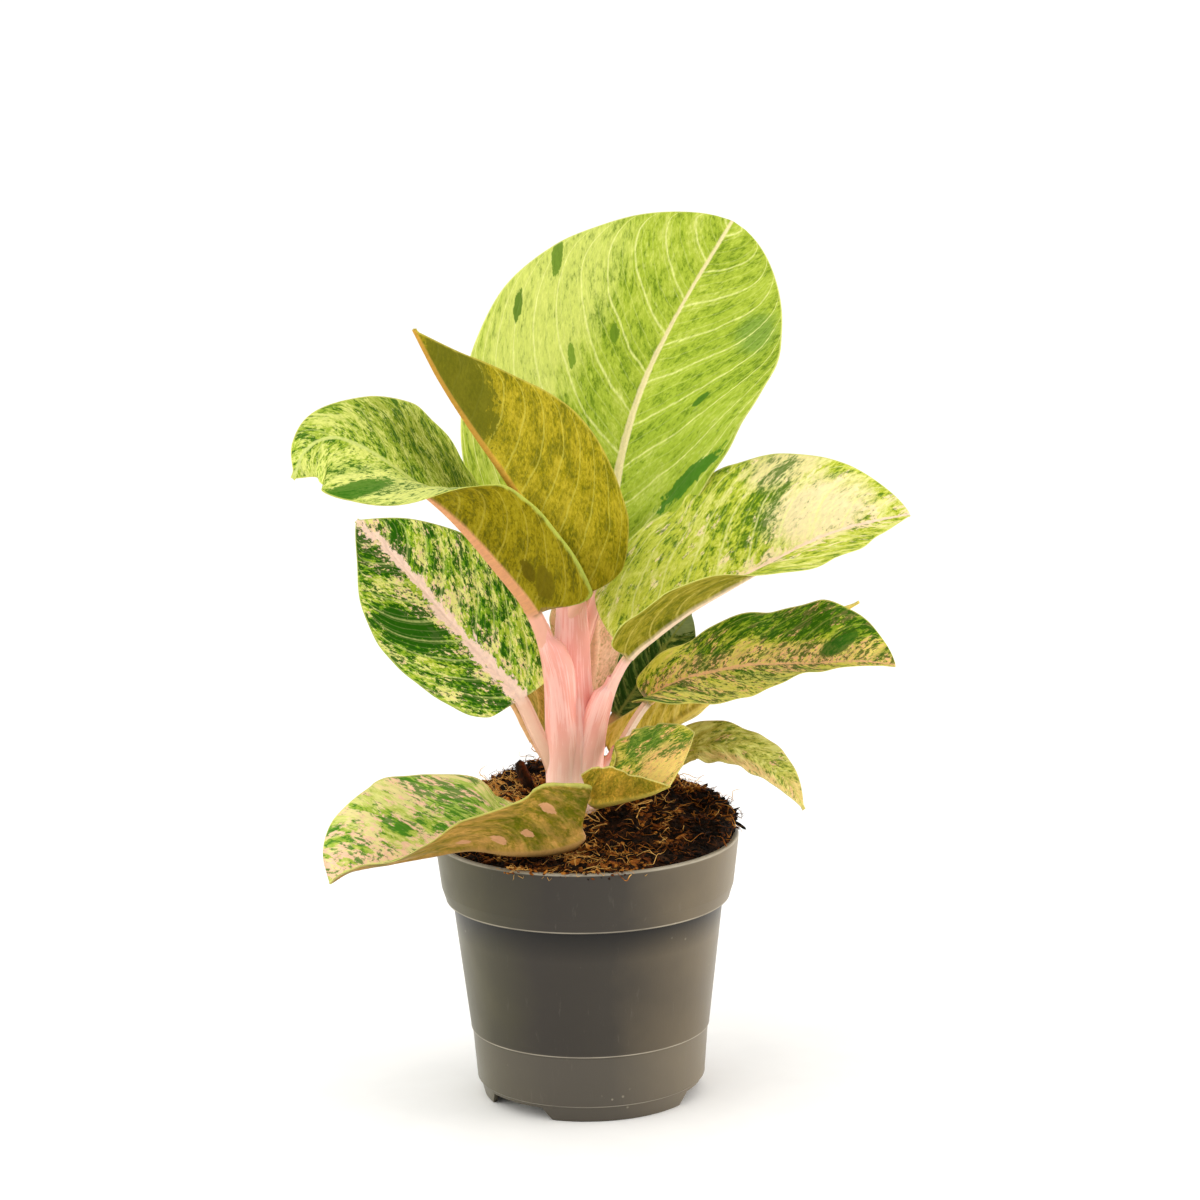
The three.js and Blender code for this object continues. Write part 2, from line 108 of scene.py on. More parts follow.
def add_node(tree, kind, links=None, out=0, stops=None, **settings):
    """Adds a node with its settings, links and ramp stops, and returns one of its outputs.

    Sockets go by name, or by number where a node has several of one name. A Map Range has the
    value at 0, its range at 1 and 2, and what that is turned to at 3 and 4. A Mix has its share
    at 0 and its two colours at 6 and 7. A texture coordinate's output 3 is the object's own.
    """
    node = tree.nodes.new(kind)
    for name, value in settings.items():
        setattr(node, name, value)
    for socket, value in (links or {}).items():
        target = node.inputs[socket]
        if isinstance(value, bpy.types.NodeSocket):
            tree.links.new(value, target)
        else:
            target.default_value = value
    if stops:
        ramp = node.color_ramp
        while len(ramp.elements) < len(stops):
            ramp.elements.new(0.5)
        for element, (place, colour) in zip(ramp.elements, stops):
            element.position = place
            element.color = hex_colour(colour)
    return node.outputs[out] if node.outputs else node


OF_COLOURS = {"out": 2, "data_type": "RGBA"}
TIMES_PLUS = {"operation": "MULTIPLY_ADD"}


def new_material(name):
    """An empty material with an output, and its node tree."""
    material = bpy.data.materials.new(name)
    material.use_nodes = True
    material.node_tree.nodes.clear()
    return material, material.node_tree


def new_piece(name, points, faces, material=None, edges=()):
    """A mesh object at the origin from points in millimetres."""
    mesh = bpy.data.meshes.new(name)
    mesh.from_pydata([tuple(np.asarray(p) * MM) for p in points], edges, faces)
    mesh.update()
    piece = bpy.data.objects.new(name, mesh)
    scene.collection.objects.link(piece)
    if material:
        mesh.materials.append(material)
    return piece


def smooth(piece, angle=180.0):
    """Shades a piece smooth, with sharp edges where its faces turn more than the angle."""
    mesh = piece.data
    mesh.polygons.foreach_set("use_smooth", [True] * len(mesh.polygons))
    if angle < 180.0:
        mesh.set_sharp_from_angle(angle=math.radians(angle))
    mesh.update()


def new_tree(name, sizes):
    """A geometry node tree with a geometry in and out, and a named input for each size."""
    tree = bpy.data.node_groups.new(name, "GeometryNodeTree")
    tree.interface.new_socket("Geometry", in_out="INPUT", socket_type="NodeSocketGeometry")
    tree.interface.new_socket("Geometry", in_out="OUTPUT", socket_type="NodeSocketGeometry")
    for label, kind in sizes:
        tree.interface.new_socket(label, in_out="INPUT", socket_type="NodeSocket" + kind)
    return tree, tree.nodes.new("NodeGroupInput").outputs


def run_tree(piece, tree, values):
    """Runs a tree on a piece as a modifier, and makes the result the piece's own mesh."""
    modifier = piece.modifiers.new(tree.name, "NODES")
    modifier.node_group = tree
    labels = {item.name: item.identifier for item in tree.interface.items_tree
              if item.in_out == "INPUT"}
    for label, value in values.items():
        modifier[labels[label]] = value
    made = piece.evaluated_get(bpy.context.evaluated_depsgraph_get())
    mesh = bpy.data.meshes.new_from_object(made)
    piece.modifiers.remove(modifier)
    old = piece.data
    piece.data = mesh
    name = old.name
    bpy.data.meshes.remove(old)
    mesh.name = name
    return piece


# Injection-moulded polypropylene with ground-in peat dust: a satin skin, a fine spark-eroded grain,
# light scuffs, and a paler rim that is partly rubbed and partly a painted highlight. Its colour
# also holds painted light: a sheen on both sides of the body, a shadow under the collar and
# highlights along the edges.
pot_plastic, t = new_material("moulded polypropylene")
place = add_node(t, "ShaderNodeTexCoord", out=3)
height = add_node(t, "ShaderNodeSeparateXYZ", {0: place}, out=2)
cloud = add_node(t, "ShaderNodeTexNoise", {"Vector": place, "Scale": 28.0, "Detail": 4.0})
grain = add_node(t, "ShaderNodeTexNoise", {"Vector": place, "Scale": 2200.0, "Detail": 2.0})
stretched = add_node(t, "ShaderNodeMapping", {"Vector": place, "Scale": (1.0, 1.0, 0.12)})
scuff = add_node(t, "ShaderNodeTexNoise", {"Vector": stretched, "Scale": 420.0, "Detail": 5.0,
                                           "Roughness": 0.7})
scuffed = add_node(t, "ShaderNodeMapRange", {0: scuff, 1: 0.62, 2: 0.8, 4: 0.35})
specks = add_node(t, "ShaderNodeTexVoronoi", {"Vector": place, "Scale": 260.0})
dusted = add_node(t, "ShaderNodeMapRange", {0: specks, 1: 0.16, 2: 0.10})
few = add_node(t, "ShaderNodeTexNoise", {"Vector": place, "Scale": 60.0, "Detail": 2.0})
some = add_node(t, "ShaderNodeMapRange", {0: few, 1: 0.63, 2: 0.7, 4: 0.6})
speckled = add_node(t, "ShaderNodeMath", {0: dusted, 1: some}, operation="MULTIPLY")
# Painted light: the body runs from a lighter olive on the left, through dark in the middle, to a
# lighter tan on the right. This painted sheen and leaf reflection stands in for light from the
# sides.
across = add_node(t, "ShaderNodeSeparateXYZ", {0: place})
uneven = add_node(t, "ShaderNodeMath", {0: cloud, 1: 0.03, 2: across}, **TIMES_PLUS)
side_sheen_place = add_node(t, "ShaderNodeMapRange", {0: uneven, 1: -0.04, 2: 0.075})
body = add_node(t, "ShaderNodeValToRGB", {0: side_sheen_place}, stops=[
    (0.0, "#514c2f"), (0.15, "#3e3a29"), (0.32, "#332e28"), (0.58, "#39342d"),
    (0.78, "#5b5140"), (1.0, "#796b52")])
rubbed = add_node(t, "ShaderNodeMix", {0: scuffed, 6: body, 7: hex_colour("#6d675c")}, **OF_COLOURS)
dust = add_node(t, "ShaderNodeMix", {
    0: speckled, 6: rubbed, 7: hex_colour("#a39a86")}, **OF_COLOURS)
# Painted shadow: just below the collar's ledge the body darkens to near black, standing in for the
# shade the ledge casts.
ledge_shade = add_node(t, "ShaderNodeMapRange", {0: height, 1: 67 * MM, 2: 79.3 * MM, 4: 0.95})
below = add_node(t, "ShaderNodeMath", {0: height, 1: 79.6 * MM}, operation="LESS_THAN")
ledge_shade = add_node(t, "ShaderNodeMath", {0: ledge_shade, 1: below}, operation="MULTIPLY")
shaded = add_node(t, "ShaderNodeMix", {0: ledge_shade, 6: dust, 7: hex_colour("#0c0a08")}, **OF_COLOURS)
# The body turns paler below the mould line.
paler_below_mould_line = add_node(t, "ShaderNodeMapRange", {0: height, 1: 28.6 * MM, 2: 26.5 * MM, 4: 0.2})
worn_and_highlit = add_node(t, "ShaderNodeMix", {0: paler_below_mould_line, 6: shaded, 7: hex_colour("#8d8576")}, **OF_COLOURS)
# Each line is paler plastic, partly real wear and partly a painted highlight along the edge.
for level, half_wide, share in WORN_AND_HIGHLIGHT_LINES:
    off = add_node(t, "ShaderNodeMath", {0: height, 1: level * MM}, operation="SUBTRACT")
    off = add_node(t, "ShaderNodeMath", {0: off}, operation="ABSOLUTE")
    line = add_node(t, "ShaderNodeMapRange", {0: off, 1: half_wide * 1.4 * MM,
                                              2: half_wide * 0.8 * MM})
    patchy = add_node(t, "ShaderNodeMapRange", {0: few, 1: 0.3, 2: 0.6, 3: 0.4 * share,
                                                4: share})
    line = add_node(t, "ShaderNodeMath", {0: line, 1: patchy}, operation="MULTIPLY")
    worn_and_highlit = add_node(t, "ShaderNodeMix", {0: line, 6: worn_and_highlit, 7: hex_colour("#b5ac99")}, **OF_COLOURS)
gloss = add_node(t, "ShaderNodeMapRange", {0: cloud, 1: 0.3, 2: 0.7, 3: 0.3, 4: 0.42})
bumps = add_node(t, "ShaderNodeBump", {"Height": grain, "Strength": 0.12, "Distance": 0.0002})
bumps2 = add_node(t, "ShaderNodeBump", {"Height": scuff, "Strength": 0.1, "Distance": 0.0003,
                                        "Normal": bumps})
skin = add_node(t, "ShaderNodeBsdfPrincipled", {
    "Base Color": worn_and_highlit, "Roughness": gloss, "IOR": 1.5, "Specular IOR Level": 0.28,
    "Normal": bumps2})
add_node(t, "ShaderNodeOutputMaterial", {"Surface": skin})

# The profile is turned round the pot's axis; the notches and the drain holes are cut from it.
tree, given = new_tree("turned pot", [
    ("Segments", "Int"), ("Turning radius", "Float"), ("Notches", "Int"), ("Holes", "Int"),
    ("Notch cutter", "Object"), ("Hole circle", "Float"), ("Hole radius", "Float"),
    ("Notch angle", "Float"), ("Plastic", "Material")])
outline_curve = add_node(tree, "GeometryNodeMeshToCurve", {0: given["Geometry"]})
softened = add_node(tree, "GeometryNodeFilletCurve", {
    "Curve": outline_curve, "Radius": CORNER_R * MM, "Count": 2, "Limit Radius": True},
    mode="POLY")
ring = add_node(tree, "GeometryNodeCurvePrimitiveCircle", {
    "Resolution": given["Segments"], "Radius": given["Turning radius"]})
ring_up = add_node(tree, "GeometryNodeSetCurveNormal", {"Curve": ring}, mode="Z_UP")
shell = add_node(tree, "GeometryNodeCurveToMesh", {"Curve": ring_up, "Profile Curve": softened})
closed = add_node(tree, "GeometryNodeMergeByDistance", {"Geometry": shell, "Distance": WELD * MM})
notch_ring = add_node(tree, "GeometryNodeMeshCircle", {"Vertices": given["Notches"],
                                                       "Radius": 0.00001})
hole_ring = add_node(tree, "GeometryNodeMeshCircle", {"Vertices": given["Holes"],
                                                      "Radius": given["Hole circle"]})
turn_step = add_node(tree, "ShaderNodeMath", {0: math.tau, 1: given["Notches"]},
                     operation="DIVIDE")
turn_index = add_node(tree, "GeometryNodeInputIndex")
turn = add_node(tree, "ShaderNodeMath", {
    0: turn_index, 1: turn_step, 2: given["Notch angle"]}, **TIMES_PLUS)
turned_by = add_node(tree, "ShaderNodeCombineXYZ", {2: turn})
cutter = add_node(tree, "GeometryNodeObjectInfo", {"Object": given["Notch cutter"]}, out=4)
notches = add_node(tree, "GeometryNodeInstanceOnPoints", {
    "Points": notch_ring, "Instance": cutter, "Rotation": turned_by})
pipe = add_node(tree, "GeometryNodeMeshCylinder", {"Vertices": 16,
                                                   "Radius": given["Hole radius"],
                                                   "Depth": DRAIN_CUT * MM})
holes = add_node(tree, "GeometryNodeInstanceOnPoints", {"Points": hole_ring, "Instance": pipe})
lifted = add_node(tree, "GeometryNodeTransform", {"Geometry": holes,
                                                  "Translation": (0, 0, DRAIN_CUT / 2 * MM)})
cuts = add_node(tree, "GeometryNodeJoinGeometry")
for cutters in (notches, lifted):
    tree.links.new(cutters, cuts.node.inputs[0])
solid_cuts = add_node(tree, "GeometryNodeRealizeInstances", {0: cuts})
cut = add_node(tree, "GeometryNodeMeshBoolean", {"Mesh 1": closed, "Mesh 2": solid_cuts},
               operation="DIFFERENCE", solver="EXACT")
dressed = add_node(tree, "GeometryNodeSetMaterial", {"Geometry": cut,
                                                     "Material": given["Plastic"]})
add_node(tree, "NodeGroupOutput", {0: dressed})

notch_points = []
foot_half = NOTCH_HALF + NOTCH_FLARE
top_half = NOTCH_HALF - NOTCH_NARROWING
for y in NOTCH_DEPTHS:
    for x, z in ((-foot_half, -1), (foot_half, -1), (top_half, NOTCH_TOP), (-top_half, NOTCH_TOP)):
        notch_points.append((x, y, z))
notch_faces = [(3, 2, 1, 0), (4, 5, 6, 7), (1, 5, 4, 0), (2, 6, 5, 1), (3, 7, 6, 2), (0, 4, 7, 3)]
notch = new_piece("notch cutter", notch_points, notch_faces)

pot = new_piece("nursery_pot", [(r - TURNING_R, -z, 0) for r, z in POT_PROFILE], [],
                edges=[(i, i + 1) for i in range(len(POT_PROFILE) - 1)])
run_tree(pot, tree, {
    "Segments": POT_SEGMENTS, "Turning radius": TURNING_R * MM, "Notches": NOTCHES,
    "Holes": DRAIN_HOLES,
    "Notch cutter": notch, "Hole circle": DRAIN_CIRCLE_R * MM, "Hole radius": DRAIN_R * MM,
    "Notch angle": math.radians(NOTCH_ANGLE), "Plastic": pot_plastic})
bpy.data.objects.remove(notch)
smooth(pot, 32.0)
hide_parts("pot")
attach(pot, "root")

# Soil.
# Coarse peat compost, pressed round the stem in a flat heap that falls to the rim in front and
# bulges over it on the right. It is a turned body with a lumpy top, strewn with crumbs, coconut
# fibres, bark chips and a few pale roots.
RIM_Z = 105.0
SOIL_EDGE_R = 57.0
SOIL_RINGS = 46
SOIL_SIDES = 176
WALL = [(6.9, 43.2), (27.7, 45.1), (79.3, 51.4), (82.8, 55.4), (99, 56.6)]
HEAP_H = 17
FRONT_FALL = 0.85
BACK_RISE = 6
RIGHT_FALL = 9
BULGE_AT = 0.12
BULGE_WIDTH = 0.62
BULGE_UP = 6.0
BULGE_OUT = 4.2


def smooth_step(low, high, value):
    """0 below low and 1 above high, with a smooth rise between them."""
    share = np.clip((value - low) / (high - low), 0.0, 1.0)
    return share * share * (3 - 2 * share)


def soil_top(x, y):
    """Height of the heap above the ground, in millimetres."""
    r = math.hypot(x, y) / SOIL_EDGE_R
    front = float(smooth_step(-6, 40, -y))
    right = float(smooth_step(12, 48, x)) * (1 - front)
    back = float(smooth_step(5, 34, y))
    high = HEAP_H * (1 - FRONT_FALL * front) + BACK_RISE * back - RIGHT_FALL * right
    steep = 7 + 8 * float(smooth_step(5, 45, x))
    heap = high * (1 - min(r, 1.0) ** steep)
    lumps = (1 - 0.6 * front) * (
        1.2 * math.sin(0.21 * x + 1.3) * math.cos(0.17 * y - 0.4)
        + 0.8 * math.sin(0.43 * x - 0.31 * y + 2) + 0.5 * math.cos(0.39 * y + 0.57 * x))
    return RIM_Z - 1.5 + heap + lumps * (1 - 0.5 * r)


def rough(x, y, z):
    """Clods and crumbs on the heap, from two sizes of smooth noise, in millimetres."""
    clods = noise.noise(Vector((x, y, z)) / 7.0)
    crumbs = noise.noise(Vector((x + 40, y, z)) / 2.6)
    return 1.5 * clods + 0.9 * crumbs


def over_rim(angle):
    """How far the heap bulges out over the rim, from 0 to 1, at an angle round the pot."""
    away = math.atan2(math.sin(angle - BULGE_AT), math.cos(angle - BULGE_AT))
    lumpy = 0.75 + 0.5 * noise.noise(Vector((3 * math.cos(angle), 3 * math.sin(angle), 4.0)))
    return math.exp(-(away / BULGE_WIDTH) ** 2) * lumpy


points, faces = [], []
for z, radius in WALL:
    for j in range(SOIL_SIDES):
        angle = j * math.tau / SOIL_SIDES
        points.append((radius * math.cos(angle), radius * math.sin(angle), z))
for i in range(SOIL_RINGS, 0, -1):
    share = (i / SOIL_RINGS) ** 0.9
    for j in range(SOIL_SIDES):
        angle = j * math.tau / SOIL_SIDES
        bulge = over_rim(angle)
        x = SOIL_EDGE_R * share * math.cos(angle)
        y = SOIL_EDGE_R * share * math.sin(angle)
        z = soil_top(x, y)
        lift = rough(x, y, z)
        edge = float(smooth_step(0.8, 0.97, share))
        z += lift * (1 - 0.6 * edge)
        z += bulge * BULGE_UP * edge * (1 - float(smooth_step(0.975, 1.0, share)))
        out = bulge * BULGE_OUT * float(smooth_step(0.82, 0.95, share))
        out *= 1 - float(smooth_step(0.985, 1.0, share))
        points.append((x + out * math.cos(angle), y + out * math.sin(angle), z))
points.append((0, 0, soil_top(0, 0)))
points.append((0, 0, WALL[0][0]))
rows = len(WALL) + SOIL_RINGS
for i in range(rows - 1):
    for j in range(SOIL_SIDES):
        k = (j + 1) % SOIL_SIDES
        faces.append((i * SOIL_SIDES + j, i * SOIL_SIDES + k,
                      (i + 1) * SOIL_SIDES + k, (i + 1) * SOIL_SIDES + j))
for j in range(SOIL_SIDES):
    k = (j + 1) % SOIL_SIDES
    last = (rows - 1) * SOIL_SIDES
    faces.append((last + j, last + k, len(points) - 2))
    faces.append((k, j, len(points) - 1))

# Damp peat: nearly black in the hollows and red-brown where it dries, dull all over, with
# crumbs of 1 to 3 mm.
peat, t = new_material("damp peat compost")
place = add_node(t, "ShaderNodeTexCoord", out=3)
clods = add_node(t, "ShaderNodeTexNoise", {"Vector": place, "Scale": 130.0, "Detail": 5.0,
                                           "Roughness": 0.7})
crumb = add_node(t, "ShaderNodeTexVoronoi", {"Vector": place, "Scale": 520.0})
damp = add_node(t, "ShaderNodeValToRGB", {0: clods}, stops=[
    (0.36, "#080402"), (0.5, "#180c05"), (0.64, "#37200e"), (0.78, "#66401a")])
bumps = add_node(t, "ShaderNodeBump", {"Height": crumb, "Strength": 0.7, "Distance": 0.0012})
bumps2 = add_node(t, "ShaderNodeBump", {"Height": clods, "Strength": 0.8, "Distance": 0.002,
                                        "Normal": bumps})
skin = add_node(t, "ShaderNodeBsdfPrincipled", {
    "Base Color": damp, "Roughness": 0.92, "Specular IOR Level": 0.12, "Normal": bumps2})
add_node(t, "ShaderNodeOutputMaterial", {"Surface": skin})
soil = new_piece("soil_heap", points, faces, peat)
smooth(soil)
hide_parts("soil")

# Each crumb, fibre and chip has a tone of its own, from peat-black to straw.
litter, t = new_material("dry peat crumbs and coconut fibre")
tone = add_node(t, "ShaderNodeAttribute", out=2, attribute_name="tone")
place = add_node(t, "ShaderNodeTexCoord", out=3)
mottle = add_node(t, "ShaderNodeTexNoise", {"Vector": place, "Scale": 900.0, "Detail": 3.0})
mixed = add_node(t, "ShaderNodeMath", {0: mottle, 1: 0.35, 2: tone}, **TIMES_PLUS)
drier = add_node(t, "ShaderNodeTexNoise", {"Vector": place, "Scale": 55.0, "Detail": 2.0})
dry_by = add_node(t, "ShaderNodeMath", {0: drier, 1: 0.5}, operation="SUBTRACT")
across = add_node(t, "ShaderNodeSeparateXYZ", {0: place})
lighter = add_node(t, "ShaderNodeMapRange", {0: across, 1: 0.004, 2: 0.034, 3: 0.09, 4: -0.12})
leaning = add_node(t, "ShaderNodeMath", {0: mixed, 1: lighter}, operation="ADD")
patchy = add_node(t, "ShaderNodeMath", {0: dry_by, 1: 1.8, 2: leaning}, **TIMES_PLUS)
toned = add_node(t, "ShaderNodeValToRGB", {0: patchy}, stops=[
    (0.25, "#060301"), (0.5, "#221004"), (0.7, "#68340e"), (0.88, "#b07028"), (1.0, "#d8a85c")])
bumps = add_node(t, "ShaderNodeBump", {"Height": mottle, "Strength": 0.6, "Distance": 0.0006})
skin = add_node(t, "ShaderNodeBsdfPrincipled", {
    "Base Color": toned, "Roughness": 0.85, "Specular IOR Level": 0.12, "Normal": bumps})
add_node(t, "ShaderNodeOutputMaterial", {"Surface": skin})

# Strews copies of a shape over a surface above a height, laid at random, each with its tone.
strew, given = new_tree("strewn litter", [
    ("Shape", "Object"), ("Per square metre", "Float"), ("Seed", "Int"), ("Smallest", "Float"),
    ("Largest", "Float"), ("Lowest", "Float"), ("Sink", "Float"), ("Dark tone", "Float"),
    ("Light tone", "Float"), ("Litter", "Material")])
where = add_node(strew, "GeometryNodeInputPosition")
above = add_node(strew, "ShaderNodeSeparateXYZ", {0: where}, out=2)
on_top = add_node(strew, "FunctionNodeCompare", {0: above, 1: given["Lowest"]},
                  operation="GREATER_THAN")
spots = add_node(strew, "GeometryNodeDistributePointsOnFaces", {
    "Mesh": given["Geometry"], "Selection": on_top, "Density": given["Per square metre"],
    "Seed": given["Seed"]})
shape = add_node(strew, "GeometryNodeObjectInfo", {"Object": given["Shape"]}, out=4)
turns = add_node(strew, "FunctionNodeRandomValue", {
    0: (-0.6, -0.6, 0.0), 1: (0.6, 0.6, math.tau), "Seed": given["Seed"]},
    data_type="FLOAT_VECTOR")
sizes = add_node(strew, "FunctionNodeRandomValue", {
    2: given["Smallest"], 3: given["Largest"], "Seed": given["Seed"]}, out=1)
laid = add_node(strew, "GeometryNodeInstanceOnPoints", {
    "Points": spots, "Instance": shape, "Rotation": turns, "Scale": sizes})
sunk = add_node(strew, "ShaderNodeCombineXYZ", {2: given["Sink"]})
lowered = add_node(strew, "GeometryNodeTranslateInstances", {
    "Instances": laid, "Translation": sunk, "Local Space": False})
tones = add_node(strew, "FunctionNodeRandomValue", {
    2: given["Dark tone"], 3: given["Light tone"], "Seed": given["Seed"]}, out=1)
stored = add_node(strew, "GeometryNodeStoreNamedAttribute", {
    "Geometry": lowered, "Name": "tone", "Value": tones}, domain="INSTANCE")
solid = add_node(strew, "GeometryNodeRealizeInstances", {0: stored})
dressed = add_node(strew, "GeometryNodeSetMaterial", {"Geometry": solid,
                                                      "Material": given["Litter"]})
add_node(strew, "NodeGroupOutput", {0: dressed})


def strewn(name, surface, shape, per_square_metre, smallest, largest, seed, sink=0.0,
           lowest=104.0, tones=(0.0, 0.7), material=litter):
    """A piece made of copies of a shape strewn over a surface, in the sizes and tones given."""
    piece = bpy.data.objects.new(name, surface.data.copy())
    scene.collection.objects.link(piece)
    run_tree(piece, strew, {
        "Shape": shape, "Per square metre": float(per_square_metre), "Seed": seed,
        "Smallest": smallest, "Largest": largest, "Lowest": lowest * MM, "Sink": sink * MM,
        "Dark tone": tones[0], "Light tone": tones[1], "Litter": material})
    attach(piece, "root")
    return piece


def clod(name, size, seed):
    """A small angular lump with twenty faces, one unit of size across."""
    golden = (1 + math.sqrt(5)) / 2
    corners = [(-1, golden, 0), (1, golden, 0), (-1, -golden, 0), (1, -golden, 0),
               (0, -1, golden), (0, 1, golden), (0, -1, -golden), (0, 1, -golden),
               (golden, 0, -1), (golden, 0, 1), (-golden, 0, -1), (-golden, 0, 1)]
    sides = [(0, 11, 5), (0, 5, 1), (0, 1, 7), (0, 7, 10), (0, 10, 11), (1, 5, 9), (5, 11, 4),
             (11, 10, 2), (10, 7, 6), (7, 1, 8), (3, 9, 4), (3, 4, 2), (3, 2, 6), (3, 6, 8),
             (3, 8, 9), (4, 9, 5), (2, 4, 11), (6, 2, 10), (8, 6, 7), (9, 8, 1)]
    lump = []
    for x, y, z in corners:
        pull = 0.27 * (1 + 0.55 * noise.noise(Vector((x, y, z)) * 1.3 + Vector((seed, 0, 0))))
        lump.append((x * pull * size[0], y * pull * size[1], z * pull * size[2]))
    return new_piece(name, lump, sides)


def strand(name, path, radius, sides=4, taper=0.4):
    """A thin round strand along a path, thinner at both ends, closed by a point at each."""
    path = [Vector(p) for p in path]
    ring_points, strand_faces = [path[0]], []
    for i in range(1, len(path) - 1):
        along = (path[i + 1] - path[i - 1]).normalized()
        side = along.cross(Vector((0.13, 0.31, 0.94))).normalized()
        other = along.cross(side)
        fade = math.sin(math.pi * i / (len(path) - 1)) ** taper
        for j in range(sides):
            angle = j * math.tau / sides
            ring_points.append(path[i] + radius * fade * (side * math.cos(angle)
                                                          + other * math.sin(angle)))
    ring_points.append(path[-1])
    rings = len(path) - 2
    for j in range(sides):
        k = (j + 1) % sides
        strand_faces.append((0, 1 + k, 1 + j))
        strand_faces.append((len(ring_points) - 1, 1 + (rings - 1) * sides + j,
                             1 + (rings - 1) * sides + k))
        for i in range(rings - 1):
            a = 1 + i * sides
            strand_faces.append((a + j, a + k, a + sides + k, a + sides + j))
    return new_piece(name, ring_points, strand_faces)


def catmull_rom(points, count):
    """Steps along a smooth curve through points: places and directions, and the whole length.

    count is how many even steps there are, or the share of the length at each step.
    """
    p = np.array(points, float)
    p = np.vstack([2 * p[0] - p[1], p, 2 * p[-1] - p[-2]])
    fine = []
    for i in range(1, len(p) - 2):
        a, b, c = [max(np.sum((p[i + k] - p[i + k - 1]) ** 2) ** 0.25, 1e-4) for k in (0, 1, 2)]
        leave = ((p[i] - p[i - 1]) / a - (p[i + 1] - p[i - 1]) / (a + b)
                 + (p[i + 1] - p[i]) / b) * b
        arrive = ((p[i + 1] - p[i]) / b - (p[i + 2] - p[i]) / (b + c)
                  + (p[i + 2] - p[i + 1]) / c) * b
        step = np.linspace(0, 1, 160, endpoint=i == len(p) - 3)[:, None]
        fine.append(p[i] + leave * step + (3 * (p[i + 1] - p[i]) - 2 * leave - arrive) * step ** 2
                    + (2 * (p[i] - p[i + 1]) + leave + arrive) * step ** 3)
    fine = np.vstack(fine)
    run = np.concatenate([[0], np.cumsum(np.linalg.norm(np.diff(fine, axis=0), axis=1))])
    share = np.linspace(0, 1, count) if np.isscalar(count) else np.asarray(count)
    at = share * run[-1]
    places = np.stack([np.interp(at, run, fine[:, k]) for k in range(3)], axis=1)
    before = np.stack([np.interp(at - 0.3, run, fine[:, k]) for k in range(3)], axis=1)
    after = np.stack([np.interp(at + 0.3, run, fine[:, k]) for k in range(3)], axis=1)
    ways = after - before
    return places, ways / np.linalg.norm(ways, axis=1)[:, None], run[-1]


def give(piece, name, values):
    """Stores a number on each point of a piece for its material to read."""
    attribute = piece.data.attributes.new(name, "FLOAT", "POINT")
    attribute.data.foreach_set("value", np.asarray(values, np.float32))


def curly(length, swing, seed, steps=8):
    """A wandering path of the given length that lies low and starts at its middle."""
    path = []
    for i in range(steps + 1):
        s = i / steps
        drift = Vector((seed * 3.1, s * 2.2, 0.0))
        path.append(Vector(((s - 0.5) * length, swing * noise.noise(drift),
                            0.6 * swing * noise.noise(drift + Vector((9, 4, 2))))))
    return path


shapes = [clod("crumb a", (1.0, 0.8, 0.7), 1.0), clod("crumb b", (1.2, 0.7, 0.5), 5.0),
          clod("chip", (1.9, 0.8, 0.32), 9.0)]
fibres = [strand("fibre a", curly(9, 7, 1.0), 0.15), strand("fibre b", curly(6, 6, 2.0), 0.13),
          strand("fibre c", curly(13, 9, 3.0), 0.14)]
root = strand("root", curly(15, 16, 5.0, 14), 0.25, 5)
strewn("peat_crumbs_fine", soil, shapes[0], 230000, 0.8, 2.1, 3, tones=(-0.1, 0.62))
strewn("peat_crumbs_coarse", soil, shapes[1], 62000, 1.8, 4.2, 11, sink=0.2, tones=(-0.15, 0.5))
strewn("bark_chips", soil, shapes[2], 9000, 2.0, 4.6, 23, tones=(0.1, 0.6))
strewn("coconut_fibres_short", soil, fibres[1], 60000, 0.5, 1.0, 31, sink=0.5, tones=(0.35, 0.8))
strewn("coconut_fibres_medium", soil, fibres[0], 42000, 0.5, 1.1, 37, sink=0.7,
       tones=(0.35, 0.85))
strewn("coconut_fibres_long", soil, fibres[2], 12000, 0.6, 1.1, 41, sink=1.0, tones=(0.45, 0.9))
strewn("pale_roots", soil, root, 3800, 0.5, 1.05, 47, sink=1.3, tones=(0.7, 1.0))
for name, path, thick, dark in (
        ("snapped_twig", [(54, -1, 110), (59, -2, 108.6), (63, -3, 106)], 0.7, 0.0),
        ("bark_splinter", [(-22, 9, 117), (-23, 9, 123), (-25.5, 9.5, 129), (-26, 10, 133)], 2.5,
         0.12)):
    places, _, _ = catmull_rom(path, 12)
    piece = strand(name, places, thick, 7, 0.2)
    piece.data.materials.append(litter)
    give(piece, "tone", [dark] * len(piece.data.vertices))
    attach(piece, "root")

# A narrow band round the front of the rim, from its inner edge over the lip, takes what spilt.
SPILT_FROM, SPILT_TO, SPILT_STEP = 236, 291, 5
band, around_rim = [], range(SPILT_FROM, SPILT_TO, SPILT_STEP)
for degrees in around_rim:
    angle = math.radians(degrees)
    for r, z in ((56.2, 105.1), (59.7, 105.1), (60.0, 102.6)):
        band.append((r * math.cos(angle), r * math.sin(angle), z))
band_faces = [(3 * i + k, 3 * i + 1 + k, 3 * i + 4 + k, 3 * i + 3 + k)
              for i in range(len(around_rim) - 1) for k in (0, 1)]
rim = new_piece("rim band", band, band_faces)
strewn("spilt_crumbs", rim, shapes[1], 260000, 0.8, 2.2, 53, sink=0.3, lowest=102.8,
       tones=(0.1, 0.7))
strewn("spilt_fibres", rim, fibres[1], 150000, 0.4, 0.85, 59, sink=0.4, lowest=102.8,
       tones=(0.4, 0.9))
for shape in shapes + fibres + [root, rim]:
    bpy.data.objects.remove(shape)
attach(soil, "root")

